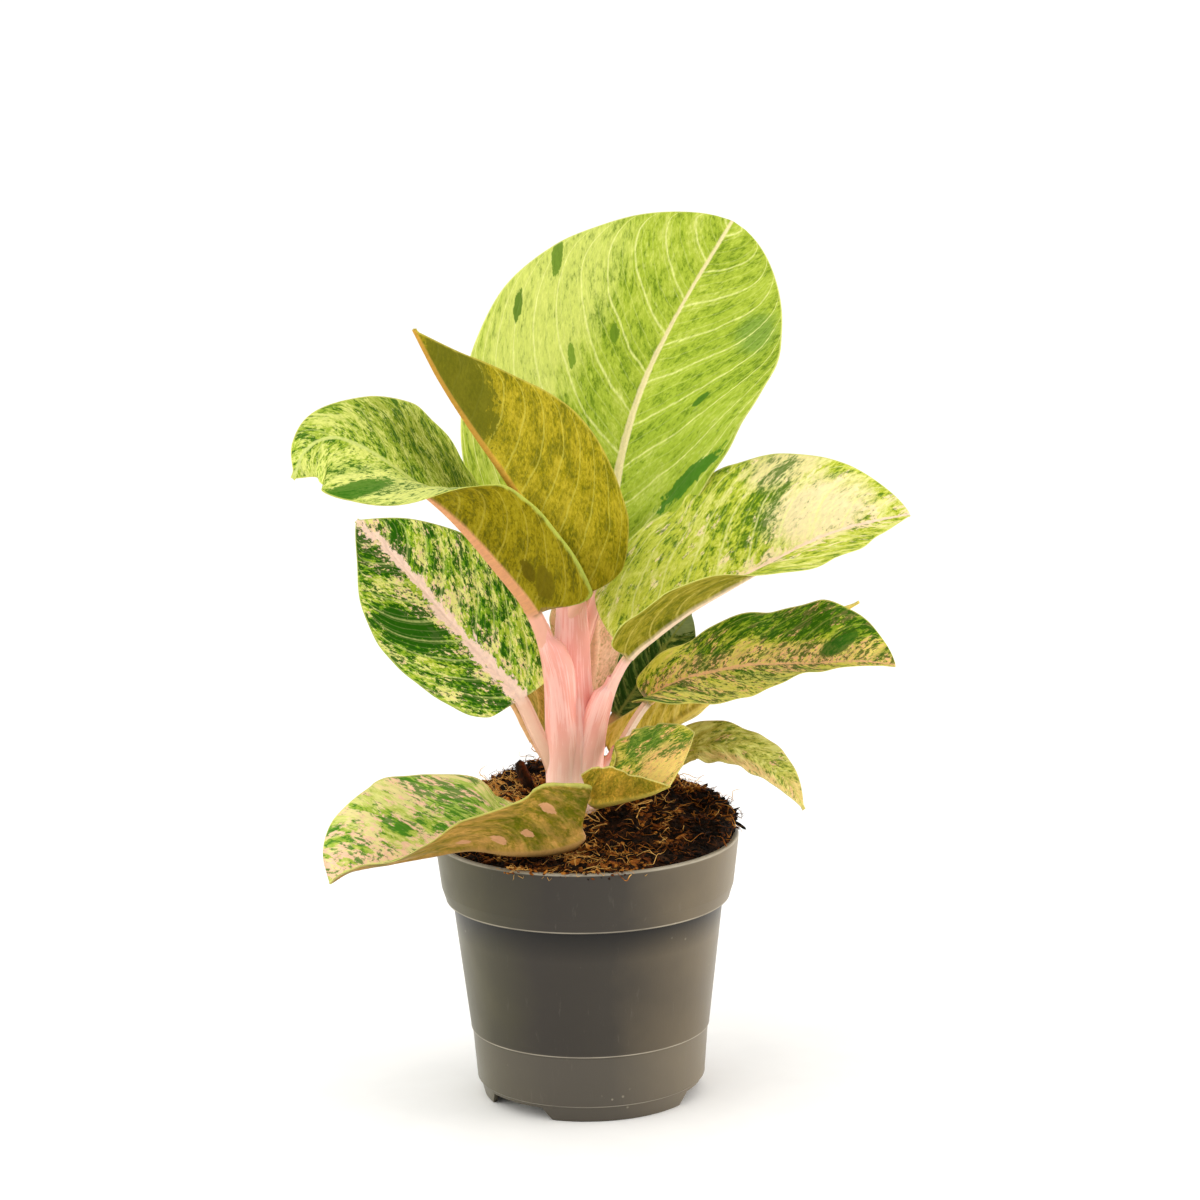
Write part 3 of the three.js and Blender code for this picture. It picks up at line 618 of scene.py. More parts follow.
# Stem.
# The leaf stalks wrap one another at the foot as fleshy sheaths, salmon pink and finely striped.
# Each sheath is open at its mouth and shows its overlapping edge down the front.
# Each sheath has its path, its half-widths across and deep along it, the angle of its
# overlapping edge, the angle and height of its lip, and how far the lip stands out.
SHEATHS = [
    {"path": [(-5, -2, 98), (-5, -2.2, 125), (-4.5, -2.2, 150), (-4.6, -1, 174), (-4.6, 0, 204)],
     "across": [8, 9, 8.5, 7, 5.2], "deep": [8, 9, 8, 6.5, 5], "edge": 5.3, "lip": (0.4, 0.9),
     "out": 0.8},
    {"path": [(-8, -4, 98), (-8.5, -5, 125), (-8.6, -7, 150), (-11, -10.6, 174),
              (-16.4, -17, 193.5)],
     "across": [5.5, 6.8, 6.9, 5.2, 3.2], "deep": [5, 6.5, 6, 4.6, 3.2], "edge": 5.5,
     "lip": (5.8, 0.86), "out": 3.2},
    {"path": [(0, -4, 98), (0, -5, 125), (2.5, -6, 143), (7, -7, 158), (11.8, -8.6, 170.5)],
     "across": [5.5, 6.5, 6, 4.3, 2.5], "deep": [5, 6, 5.5, 4, 2.5], "edge": 4.0,
     "lip": (3.7, 0.87), "out": 3.0},
    {"path": [(-3, 5, 98), (-3, 6, 122), (-2, 7, 140), (-1, 8, 153)],
     "across": [7, 7.5, 6.5, 4.5], "deep": [5, 5.5, 5, 3.5], "edge": 1.2, "lip": (2.0, 0.9),
     "out": 1.0},
    {"path": [(5, 1, 98), (7.5, 0.5, 122), (9, 0.8, 131), (13, 1.4, 140)],
     "across": [4, 5.2, 4.6, 2.2], "deep": [5, 5, 4, 2.2], "edge": 4.6, "lip": (3.4, 0.8),
     "out": 1.5},
]
SHEATH_SIDES = 48
SHEATH_STEPS = 50


def eased(values, share):
    """Smooth values at shares from 0 to 1 between evenly spaced ones."""
    values = np.asarray(values, float)
    padded = np.concatenate([[values[0]], values, [values[-1]]])
    place = np.clip(share, 0, 1) * (len(values) - 1)
    i = np.minimum(place.astype(int), len(values) - 2)
    f = place - i
    a, b, c, d = padded[i], padded[i + 1], padded[i + 2], padded[i + 3]
    return b + 0.5 * f * (c - a + f * (2 * a - 5 * b + 4 * c - d + f * (3 * (b - c) + d - a)))


def ring_faces(rows, n):
    """Faces between rows of n points each, with a fan to one more point at each end."""
    made = []
    for i in range(rows - 1):
        for j in range(n):
            k = (j + 1) % n
            made.append((i * n + j, i * n + k, (i + 1) * n + k, (i + 1) * n + j))
    for j in range(n):
        k = (j + 1) % n
        made.append((k, j, rows * n))
        made.append(((rows - 1) * n + j, (rows - 1) * n + k, rows * n + 1))
    return made


points, faces, around, upward = [], [], [], []
for sheath in SHEATHS:
    share = np.linspace(0, 1, SHEATH_STEPS)
    middle, _, _ = catmull_rom(sheath["path"], SHEATH_STEPS)
    across, deep = eased(sheath["across"], share), eased(sheath["deep"], share)
    start, rows = len(points), 0
    lip_angle, lip_at = sheath["lip"]
    for depth, shrink in [(s, 1.0) for s in share] + [(1.0, 0.9), (0.96, 0.84), (0.92, 0.72)]:
        i = min(int(round(depth * (SHEATH_STEPS - 1))), SHEATH_STEPS - 1)
        for j in range(SHEATH_SIDES):
            angle = j * math.tau / SHEATH_SIDES
            wrap = ((angle - sheath["edge"]) / math.tau) % 1.0
            swell = 1 + 0.035 * wrap * (1 - depth ** 4)
            inner_side = (0.5 + 0.5 * math.cos(angle - lip_angle)) ** 2.4
            grown = float(smooth_step(lip_at - 0.25, lip_at, depth + 0.03 * inner_side))
            past = float(smooth_step(lip_at, lip_at + 0.035, depth - 0.05 * inner_side))
            stand_out = sheath["out"] * inner_side * grown * (1 - past)
            points.append((
                middle[i][0] + (across[i] * swell * shrink + stand_out) * math.cos(angle),
                middle[i][1] + (deep[i] * swell * shrink + stand_out) * math.sin(angle),
                middle[i][2]))
            around.append(angle)
            upward.append(middle[i][2])
        rows += 1
    points += [tuple(middle[0]), tuple(middle[int(0.9 * SHEATH_STEPS)])]
    around += [0.0, 0.0]
    upward += [98.0, middle[-1][2]]
    for face in ring_faces(rows, SHEATH_SIDES):
        faces.append(tuple(start + corner for corner in face))

# Living leaf sheath: thin moist skin over pale flesh, so a soft gloss, with darker pink veins
# running up it about 1 mm apart and peach tones near the soil.
flesh, t = new_material("pink leaf sheath")
turn_at = add_node(t, "ShaderNodeAttribute", out=2, attribute_name="around")
up_at = add_node(t, "ShaderNodeAttribute", out=2, attribute_name="upward")
wide = add_node(t, "ShaderNodeMath", {0: turn_at, 1: 7.0}, operation="MULTIPLY")
tall = add_node(t, "ShaderNodeMath", {0: up_at, 1: 0.035}, operation="MULTIPLY")
lines_at = add_node(t, "ShaderNodeCombineXYZ", {0: wide, 1: tall})
lines = add_node(t, "ShaderNodeTexNoise", {"Vector": lines_at, "Scale": 1.6, "Detail": 4.0,
                                           "Roughness": 0.6})
broad_at = add_node(t, "ShaderNodeCombineXYZ", {0: turn_at, 1: tall, 2: 4.0})
broad = add_node(t, "ShaderNodeTexNoise", {"Vector": broad_at, "Scale": 1.3, "Detail": 2.0})
both = add_node(t, "ShaderNodeMath", {0: broad, 1: 1.0, 2: lines}, **TIMES_PLUS)
pink = add_node(t, "ShaderNodeValToRGB", {0: both}, stops=[
    (0.7, "#fdcbc2"), (1.0, "#fabbb0"), (1.3, "#f3a99c")])
low = add_node(t, "ShaderNodeMapRange", {0: up_at, 1: 110.0, 2: 152.0, 3: 1.0, 4: 0.0})
peach = add_node(t, "ShaderNodeMix", {0: low, 6: pink, 7: hex_colour("#ffe0cf")}, **OF_COLOURS)
bumps = add_node(t, "ShaderNodeBump", {"Height": lines, "Strength": 0.07, "Distance": 0.0005})
skin = add_node(t, "ShaderNodeBsdfPrincipled", {
    "Base Color": peach, "Roughness": 0.42, "Specular IOR Level": 0.25, "IOR": 1.42,
    "Subsurface Weight": 0.15, "Subsurface Radius": (0.004, 0.0015, 0.001),
    "Subsurface Scale": 0.6, "Normal": bumps})
add_node(t, "ShaderNodeOutputMaterial", {"Surface": skin})
stem = new_piece("stem_sheaths", points, faces, flesh)
give(stem, "around", around)
give(stem, "upward", upward)
smooth(stem, 50.0)
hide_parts("stem")
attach(stem, "root")

# Leaves: how one is grown.
# A leaf is one stalk and one blade, half a millimetre thick. Its side veins leave the midrib at a
# slant and curve towards the tip, sunk a little on the upper face. The margin is a thin pale line.
BLADE_T = 0.55
STALK_STEPS = 18
BLADE_ROWS = 96
SIDE_COLUMNS = 21
VEIN_SLANT = 0.42
VEIN_CURVE = 1.25
VEIN_ARCH = 0.72
VEIN_DEPTH = 0.34
PILLOW_H = 0.4
RUFFLE = 0.7


def half_outline(share, widest, heel, taper, shoulder):
    """Share of the greatest half-width along one side of a blade, from its base to its tip."""
    before = np.clip((widest - share) / widest, 0, 1)
    after = np.clip((share - widest) / (1 - widest), 0, 1)
    base = heel + (1 - heel) * np.clip(1 - before ** 2, 0, 1) ** shoulder
    tip = np.clip(np.cos(after * math.pi / 2), 0, 1) ** taper
    return np.where(share < widest, base, tip)


def unit(rows):
    """Rows scaled to length one."""
    return rows / np.linalg.norm(rows, axis=1)[:, None]


def leaf_points(stalk_path, midrib, half, widest, heel, taper, sweep, stalk, lift, vein_gap,
                seed, face=((0, 0, 1),) * 3, curl=((0, 0), (0, 0)), wave=None,
                shoulder=(0.5, 0.5), fore=(0, 0)):
    """A leaf's points and faces, and what its material reads at each point.

    face is where the blade's upper side looks, from its base to its tip. Each pair is for the
    two halves of the blade: half-width, where it is widest, how full its heel, taper and shoulder
    are, and in degrees how far it sweeps back at the base and forward at the tip, lifts and curls.
    """
    path = [*stalk_path, *midrib]
    chords = np.linalg.norm(np.diff(np.array(path, float), axis=0), axis=1)
    blade_from = chords[:len(stalk_path)].sum() / chords.sum()
    even = np.linspace(0, 1, BLADE_ROWS)
    blade = 0.6 * even + 0.4 * (0.5 - 0.5 * np.cos(math.pi * even)) ** 1.3
    share = np.concatenate([np.linspace(-1, 0, STALK_STEPS), blade])
    run = np.concatenate([np.linspace(0, 0.985, STALK_STEPS) * blade_from,
                          blade_from + (1 - blade_from) * blade])
    middle, along, length = catmull_rom(path, run)
    on_blade = np.arange(len(share)) >= STALK_STEPS
    w = np.clip(share, 0, 1)
    facing = np.stack([eased([f[k] for f in face], w) for k in range(3)], axis=1)
    facing = unit(facing - along * np.sum(facing * along, axis=1)[:, None])
    across = np.cross(along, facing)
    rib = np.where(on_blade, stalk * (1 - w) + 0.3, stalk * (1 + 0.25 * share ** 2))
    narrow = rib + 0.7
    rows = {}
    for k, sign in ((0, -1), (1, 1)):
        grown = half[k] * half_outline(w, widest[k], heel[k], taper[k], shoulder[k])
        rise = np.sqrt(1 - (1 - np.clip(w / 0.035, 0, 1)) ** 2)
        width = np.where(on_blade, np.maximum(grown * rise, np.minimum(narrow, grown + 1)), narrow)
        width = np.maximum(width, 0.5)
        bend = np.where(on_blade, np.radians(eased(lift[k], w)), 0)
        roll = np.where(on_blade, np.radians(eased(curl[k], w)), 0)
        back = np.where(on_blade, math.radians(sweep[k]) * np.clip(1 - w / 0.35, 0, 1) ** 2
                        - math.radians(fore[k]) * smooth_step(0.6, 0.95, w), 0)
        near = np.minimum(rib[:, None] * [0.35, 0.7, 1.05], width[:, None] * [0.14, 0.28, 0.42])
        out = 1 - (1 - np.linspace(0, 1, SIDE_COLUMNS - 2)[1:]) ** 1.15
        far = near[:, 2:] + (width[:, None] - near[:, 2:]) * out
        x = np.concatenate([near, far], axis=1)
        q = x / width[:, None]
        turn = roll[:, None] * q / 2
        reach = x * np.sinc(turn / math.pi)
        angle = bend[:, None] + turn
        tilt = (bend[:, None] + roll[:, None] * q)[..., None]
        top = (middle[:, None] + across[:, None] * (sign * reach * np.cos(angle)
                                                    * np.cos(back)[:, None])[..., None]
               + facing[:, None] * (reach * np.sin(angle))[..., None]
               - along[:, None] * (reach * np.sin(back)[:, None])[..., None])
        normal = facing[:, None] * np.cos(tilt) - across[:, None] * sign * np.sin(tilt)
        s = (run - blade_from)[:, None] * length + 0 * x
        flow = s - VEIN_SLANT * x ** VEIN_CURVE - np.sin(back)[:, None] * x * 0.5
        vein = s + VEIN_ARCH * width[:, None] * np.log(1 - 0.9 * q) - np.sin(back)[:, None] * x / 2
        opened = (on_blade[:, None] * smooth_step(0.0, 0.12, w)[:, None]
                  * smooth_step(4, 16, width)[:, None])
        phase = vein / vein_gap + 0.13 * sign
        sunk = np.exp(-((phase - np.round(phase)) * vein_gap / 1.5) ** 2)
        pillow = 0.5 + 0.5 * np.cos(math.tau * phase)
        inner = np.sin(math.pi * np.clip(q, 0, 1)) ** 0.7 * smooth_step(0, 0.35, 1 - q)
        relief = -opened * (VEIN_DEPTH * sunk + PILLOW_H * pillow) * inner
        relief += opened * q ** 3 * RUFFLE * (
            np.sin(math.tau * (3.1 * w + 0.37 * seed + 0.2 * sign))[:, None]
            + 0.6 * np.sin(math.tau * (6.7 * w + 0.61 * seed + 0.4 * sign))[:, None])
        if wave:
            swing = np.sin(math.tau * (wave[1] * w + wave[2] + (0.3 if sign > 0 else 0)))
            swell = np.sin(math.pi * np.minimum(1, w * 1.05))
            relief += on_blade[:, None] * q ** 2 * wave[0] * (swing * swell)[:, None]
        top = top + normal * relief[..., None]
        bulge = rib[:, None] * np.sqrt(np.clip(1 - (x / rib[:, None]) ** 2, 0, 1))
        thick = BLADE_T * (1 - 0.6 * q ** 6) + bulge
        raised = np.where(on_blade, 0, 0.4)[:, None] * bulge
        under = top - normal * thick[..., None]
        top = top + normal * raised[..., None]
        rows[k] = {"top": top, "under": under, "x": sign * x, "vein": vein, "flow": flow, "s": s,
                   "margin": np.where(on_blade[:, None], width[:, None] - x, 9.0)}
    s = (run - blade_from) * length
    hollow = np.where(on_blade, -0.25 * np.clip(rib / 2, 0, 1), 0.4 * rib)
    centre = {"top": middle + facing * hollow[:, None],
              "under": middle - facing * (BLADE_T + rib)[:, None],
              "x": 0 * s, "vein": s, "flow": s, "s": s,
              "margin": np.minimum(half[0], half[1]) + 0 * s}

    def whole(key):
        return np.concatenate([rows[0][key][:, ::-1], centre[key][:, None], rows[1][key]], axis=1)

    top, under = whole("top"), whole("under")
    grid = np.concatenate([top, under[:, ::-1]], axis=1)
    facts = {}
    for key in ("x", "vein", "flow", "s", "margin"):
        value = whole(key)
        facts[key] = np.concatenate([value, value[:, ::-1]], axis=1).ravel()
    n, width = top.shape[:2]
    facts["under"] = np.tile(np.concatenate([np.zeros(width), np.ones(width)]), n)
    ends = [grid[0].mean(axis=0), grid[-1].mean(axis=0)]
    for key, value in facts.items():
        facts[key] = np.concatenate([value, [value[0], value[-1]]])
    return np.vstack([grid.reshape(-1, 3), ends]), ring_faces(n, 2 * width), facts


def oval(t, s, x, at, off, long, wide):
    """Distance from the middle of an oval on a blade, one at its rim."""
    along = add_node(t, "ShaderNodeMath", {0: s, 1: 1 / long, 2: -at / long}, **TIMES_PLUS)
    across = add_node(t, "ShaderNodeMath", {0: x, 1: 1 / wide, 2: -off / wide}, **TIMES_PLUS)
    place = add_node(t, "ShaderNodeCombineXYZ", {0: along, 1: across})
    return add_node(t, "ShaderNodeVectorMath", {0: place}, out=1, operation="LENGTH")


# How much of each colour a blade has where its own skin doesn't say, and how the flecks lie:
# drawn out along the veins, their size, ragged or soft at the edge, crowded between the veins.
USUAL_SHARES = {"green": 0.5, "dark": 0.4, "light": 0.4, "pink": 0.0, "contrast": 0.14,
                "light_share": 0.7, "dark_share": 0.85, "along": 0.9, "size": 1.0,
                "ragged": 0.5, "below": 0.4, "veins": 0.5, "banded": 0.06, "soft": 0.05}
HALF_GREEN = 1.075
SHARE_SHIFT = 0.3


# Living leaf: a waxy skin with a low, uneven gloss, over cells with and without green. It is
# painted in layers, the ground first and the margin last, on each side of the blade.
def leaf_skin(name, upper, lower, rib, rib_half, seed, shares, margin, vein_gap, zones=(),
              patches=(), thick=(), petiole="#f6c3b0", rib_below=None, rim_below=None):
    """The skin of one leaf, painted along its own veins.

    upper holds the colours pale, mid, green, dark, light, pink and vein, and lower holds light,
    mid, deep and vein. Each zone tints the ground and each patch covers it: place along and
    across, half-length, half-width, colour, and share or the colour seen from below. The dark
    flecks crowd in the thick places, each with its place, half-sizes and how much more.
    """
    amount = {**USUAL_SHARES, **shares}
    material, t = new_material(name)
    x, s, flow, vein, margin_at, under = (
        add_node(t, "ShaderNodeAttribute", out=2, attribute_name=key)
        for key in ("x", "s", "flow", "vein", "margin", "under"))
    away = add_node(t, "ShaderNodeMath", {0: x}, operation="ABSOLUTE")
    side = add_node(t, "ShaderNodeMath", {0: x}, operation="SIGN")
    layer = add_node(t, "ShaderNodeMath", {0: side, 1: 9.0, 2: seed * 13.0}, **TIMES_PLUS)

    # Five noise patterns, all drawn out a little along the side veins.
    run = add_node(t, "ShaderNodeMath", {0: away, 1: amount["along"]}, operation="MULTIPLY")
    grain = add_node(t, "ShaderNodeCombineXYZ", {0: run, 1: flow, 2: layer})
    size = amount["size"]

    def pattern(shift, scale, detail, rough, bend=0.0):
        moved = add_node(t, "ShaderNodeVectorMath", {0: grain, 1: (shift, 1.7 * shift, 0.0)},
                         operation="ADD")
        return add_node(t, "ShaderNodeTexNoise", {
            "Vector": moved, "Scale": scale, "Detail": detail, "Roughness": rough,
            "Distortion": bend})

    broad = pattern(0.0, 0.065, 2.0, 0.5)
    medium = pattern(11.0, 0.24 / size, 6.0, 0.68, 0.35)
    dark_at = pattern(31.0, 0.7 / size, 4.0, 0.68, 0.3)
    light_at = pattern(53.0, 0.65 / size, 4.0, 0.68, 0.3)
    blush = pattern(71.0, 0.19 / size, 6.0, 0.68, 0.4)

    # Side veins: pale lines, the distance to the nearest one measured across the vein.
    count = add_node(t, "ShaderNodeMath", {0: vein, 1: 1 / vein_gap}, operation="MULTIPLY")
    wander = add_node(t, "ShaderNodeMath", {0: broad, 1: 0.3, 2: -0.15}, **TIMES_PLUS)
    offset = add_node(t, "ShaderNodeMath", {0: side, 1: 0.13, 2: wander}, **TIMES_PLUS)
    along_veins = add_node(t, "ShaderNodeMath", {0: count, 1: offset}, operation="ADD")
    nearest = add_node(t, "ShaderNodeMath", {0: along_veins, 1: 0.5}, operation="PINGPONG")
    line = add_node(t, "ShaderNodeMapRange", {0: nearest, 1: 0.85 / vein_gap,
                                              2: 0.15 / vein_gap})
    between = add_node(t, "ShaderNodeMath", {0: along_veins, 1: 3.0, 2: 0.4}, **TIMES_PLUS)
    nearest_small = add_node(t, "ShaderNodeMath", {0: between, 1: 0.5}, operation="PINGPONG")
    small = add_node(t, "ShaderNodeMapRange", {0: nearest_small, 1: 1.4 / vein_gap, 2: 0.0,
                                               4: 0.3})
    lines = add_node(t, "ShaderNodeMath", {0: line, 1: small}, operation="MAXIMUM")
    broken = add_node(t, "ShaderNodeMapRange", {0: light_at, 1: 0.35, 2: 0.6, 3: 0.35, 4: 1.0})
    shown = add_node(t, "ShaderNodeMath", {0: lines, 1: broken}, operation="MULTIPLY")
    strength = add_node(t, "ShaderNodeMath", {0: shown, 1: amount["veins"]},
                        operation="MULTIPLY")
    midway = add_node(t, "ShaderNodeMath", {0: nearest, 1: amount["banded"],
                                            2: -0.25 * amount["banded"]}, **TIMES_PLUS)
    for at, off, long, wide, more in thick:
        started = at - VEIN_SLANT * abs(off) ** VEIN_CURVE
        far = oval(t, flow, x, started, off, long, wide)
        here = add_node(t, "ShaderNodeMapRange", {0: far, 1: 1.5, 2: 0.5, 4: more})
        midway = add_node(t, "ShaderNodeMath", {0: midway, 1: here}, operation="ADD")

    # The ground runs softly from pale to green, tinted in zones, with pink washes. From below the
    # blade is duller and warmer.
    fine = add_node(t, "ShaderNodeMath", {0: dark_at, 1: 0.6, 2: medium}, **TIMES_PLUS)
    tone = add_node(t, "ShaderNodeMath", {0: broad, 1: 0.55, 2: fine}, **TIMES_PLUS)
    lean = add_node(t, "ShaderNodeMath", {0: tone, 1: midway}, operation="ADD")
    centre, spread = HALF_GREEN - SHARE_SHIFT * (amount["green"] - 0.5), amount["contrast"]
    level = add_node(t, "ShaderNodeMapRange", {0: lean, 1: centre - spread, 2: centre + spread})
    ground = add_node(t, "ShaderNodeValToRGB", {0: level}, stops=[
        (0.0, upper["pale"]), (0.45, upper["mid"]), (1.0, upper["green"])])
    dull = add_node(t, "ShaderNodeMapRange", {0: lean, 1: HALF_GREEN - 0.24,
                                              2: HALF_GREEN + 0.24})
    ground_below = add_node(t, "ShaderNodeValToRGB", {0: dull}, stops=[
        (0.0, lower["light"]), (0.5, lower["mid"]), (1.0, lower["deep"])])
    above, below = [], []
    for at, off, long, wide, colour, share in zones:
        far = oval(t, s, x, at, off, long, wide)
        torn = add_node(t, "ShaderNodeMath", {0: medium, 1: 1.2, 2: far}, **TIMES_PLUS)
        here = add_node(t, "ShaderNodeMapRange", {0: torn, 1: 1.85, 2: 1.25, 4: share})
        above.append((colour, here))
    if amount["pink"] > 0:
        near_rib = add_node(t, "ShaderNodeMapRange", {0: away, 1: 0.0, 2: 14.0, 3: 0.10,
                                                      4: 0.0})
        warm = add_node(t, "ShaderNodeMath", {0: blush, 1: near_rib}, operation="ADD")
        torn = add_node(t, "ShaderNodeMath", {0: medium, 1: 0.35, 2: warm}, **TIMES_PLUS)
        edge = 0.855 - SHARE_SHIFT * amount["pink"]
        rosy = add_node(t, "ShaderNodeMapRange", {0: torn, 1: edge, 2: edge + 0.035, 4: 0.92})
        above.append((upper["pink"], rosy))

    # Flecks: pale ones, then dark ones, each thick in some places and thin in others, with the
    # veins over them. They are softer from below, where the veins stand pale.
    clumps = add_node(t, "ShaderNodeMath", {0: blush, 1: 0.7, 2: light_at}, **TIMES_PLUS)
    clumps = add_node(t, "ShaderNodeMath", {0: broad, 1: -0.35, 2: clumps}, **TIMES_PLUS)
    pale_by = add_node(t, "ShaderNodeMath", {0: clumps, 1: midway}, operation="SUBTRACT")
    clumps = add_node(t, "ShaderNodeMath", {0: medium, 1: 0.7, 2: dark_at}, **TIMES_PLUS)
    clumps = add_node(t, "ShaderNodeMath", {0: broad, 1: 0.4, 2: clumps}, **TIMES_PLUS)
    dark_by = add_node(t, "ShaderNodeMath", {0: clumps, 1: midway}, operation="ADD")
    vein_below = add_node(t, "ShaderNodeMath", {0: lines, 1: 0.9 * amount["veins"]},
                          operation="MULTIPLY")
    light_edge = 0.825 - SHARE_SHIFT * amount["light"]
    dark_edge = 1.2 - SHARE_SHIFT * amount["dark"]
    deep_edge = 1.18 - SHARE_SHIFT * amount["below"]
    faint_edge = 0.78 - SHARE_SHIFT * amount["below"]
    for layers, colour, flecks, edge, full, share in (
            (above, upper["light"], pale_by, light_edge, light_edge + 1.3 * amount["soft"],
             amount["light_share"]),
            (above, upper["dark"], dark_by, dark_edge, dark_edge + 1.2 * amount["soft"],
             amount["dark_share"]),
            (below, lower["deep"], dark_by, deep_edge - 0.05, deep_edge + 0.2, 0.75),
            (below, lower["light"], pale_by, faint_edge - 0.05, faint_edge + 0.25, 0.5)):
        here = add_node(t, "ShaderNodeMapRange", {0: flecks, 1: edge, 2: full, 4: share})
        layers.append((colour, here))
    above.append((upper["vein"], strength))
    below.append((lower["vein"], vein_below))

    # Blotches of one colour, each a ragged oval in the blade's own measure.
    for at, off, long, wide, colour, colour_below in patches:
        started = at - VEIN_SLANT * abs(off) ** VEIN_CURVE
        far = oval(t, flow, x, started, off, long, wide)
        torn = add_node(t, "ShaderNodeMath", {0: dark_at, 1: 1.2, 2: far}, **TIMES_PLUS)
        torn = add_node(t, "ShaderNodeMath", {0: medium, 1: 1.5, 2: torn}, **TIMES_PLUS)
        spot = add_node(t, "ShaderNodeMapRange", {0: torn, 1: 2.32, 2: 2.2, 4: 0.9})
        if colour:
            above.append((colour, spot))
        below.append((colour_below, spot))

    # The midrib narrows to the tip, ragged above and even below; the margin is a thin pale line.
    half = add_node(t, "ShaderNodeMapRange", {0: s, 1: 0.0, 2: 120.0, 3: rib_half,
                                              4: 0.3 * rib_half})
    torn = add_node(t, "ShaderNodeMath", {0: medium, 1: 4.0, 2: light_at}, **TIMES_PLUS)
    ragged = amount["ragged"] * rib_half
    torn = add_node(t, "ShaderNodeMath", {0: torn, 1: 1.2 * ragged, 2: -3.0 * ragged},
                    **TIMES_PLUS)
    uneven = add_node(t, "ShaderNodeMath", {0: half, 1: torn}, operation="ADD")
    in_rib = add_node(t, "ShaderNodeMath", {0: uneven, 1: away}, operation="SUBTRACT")
    on_rib = add_node(t, "ShaderNodeMapRange", {0: in_rib, 1: -0.25, 2: 0.35, 4: 0.95})
    in_keel = add_node(t, "ShaderNodeMath", {0: half, 1: away}, operation="SUBTRACT")
    on_keel = add_node(t, "ShaderNodeMapRange", {0: in_keel, 1: -0.5, 2: 0.4, 4: 0.9})
    on_margin = add_node(t, "ShaderNodeMapRange", {0: margin_at, 1: 0.7, 2: 0.3, 4: 0.8})
    rim_wide, rim_colour = rim_below or (0.7, margin)
    torn = add_node(t, "ShaderNodeMath", {0: medium, 1: 1.6 * rim_wide, 2: margin_at},
                    **TIMES_PLUS)
    on_rim = add_node(t, "ShaderNodeMapRange", {0: torn, 1: 1.9 * rim_wide, 2: 1.3 * rim_wide,
                                                4: 0.75})
    above += [(rib, on_rib), (margin, on_margin)]
    below += [(rib_below or rib, on_keel), (rim_colour, on_rim)]

    # Each side's layers are laid over its ground, then the sides and the stalk are joined.
    sides = []
    for painted, layers in ((ground, above), (ground_below, below)):
        for colour, share in layers:
            painted = add_node(t, "ShaderNodeMix", {
                0: share, 6: painted, 7: hex_colour(colour)}, **OF_COLOURS)
        sides.append(painted)
    plain = add_node(t, "ShaderNodeMix", {0: under, 6: sides[0], 7: sides[1]}, **OF_COLOURS)
    lively = add_node(t, "ShaderNodeMapRange", {0: dark_at, 1: 0.3, 2: 0.7, 3: 1.1, 4: 0.88})
    blade = add_node(t, "ShaderNodeHueSaturation", {"Color": plain, "Value": lively})
    stalk_lines = add_node(t, "ShaderNodeMapRange", {0: medium, 1: 0.3, 2: 0.7, 3: 0.12,
                                                     4: 0.0})
    stalk = add_node(t, "ShaderNodeMix", {
        0: stalk_lines, 6: hex_colour(petiole), 7: hex_colour("#d98f78")}, **OF_COLOURS)
    on_stalk = add_node(t, "ShaderNodeMapRange", {0: s, 1: 1.5, 2: -3.0})
    finished = add_node(t, "ShaderNodeMix", {0: on_stalk, 6: blade, 7: stalk}, **OF_COLOURS)

    relief = add_node(t, "ShaderNodeMath", {0: lines, 1: -0.5, 2: medium}, **TIMES_PLUS)
    bumps = add_node(t, "ShaderNodeBump", {"Height": relief, "Strength": 0.25,
                                           "Distance": 0.0005})
    gloss = add_node(t, "ShaderNodeMapRange", {0: medium, 1: 0.3, 2: 0.7, 3: 0.4, 4: 0.5})
    surface = add_node(t, "ShaderNodeBsdfPrincipled", {
        "Base Color": finished, "Roughness": gloss, "Specular IOR Level": 0.04,
        "Normal": bumps})
    add_node(t, "ShaderNodeOutputMaterial", {"Surface": surface})
    return material


def grow(node, shape, skin):
    """Makes one leaf in place of the CAD node of that name."""
    points, faces, facts = leaf_points(**shape, vein_gap=skin["vein_gap"], seed=skin["seed"])
    leaf = new_piece(node + "_blade", points, faces, leaf_skin(node.replace("_", " "), **skin))
    for key, values in facts.items():
        give(leaf, key, values)
    smooth(leaf)
    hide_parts(node)
    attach(leaf, "root")


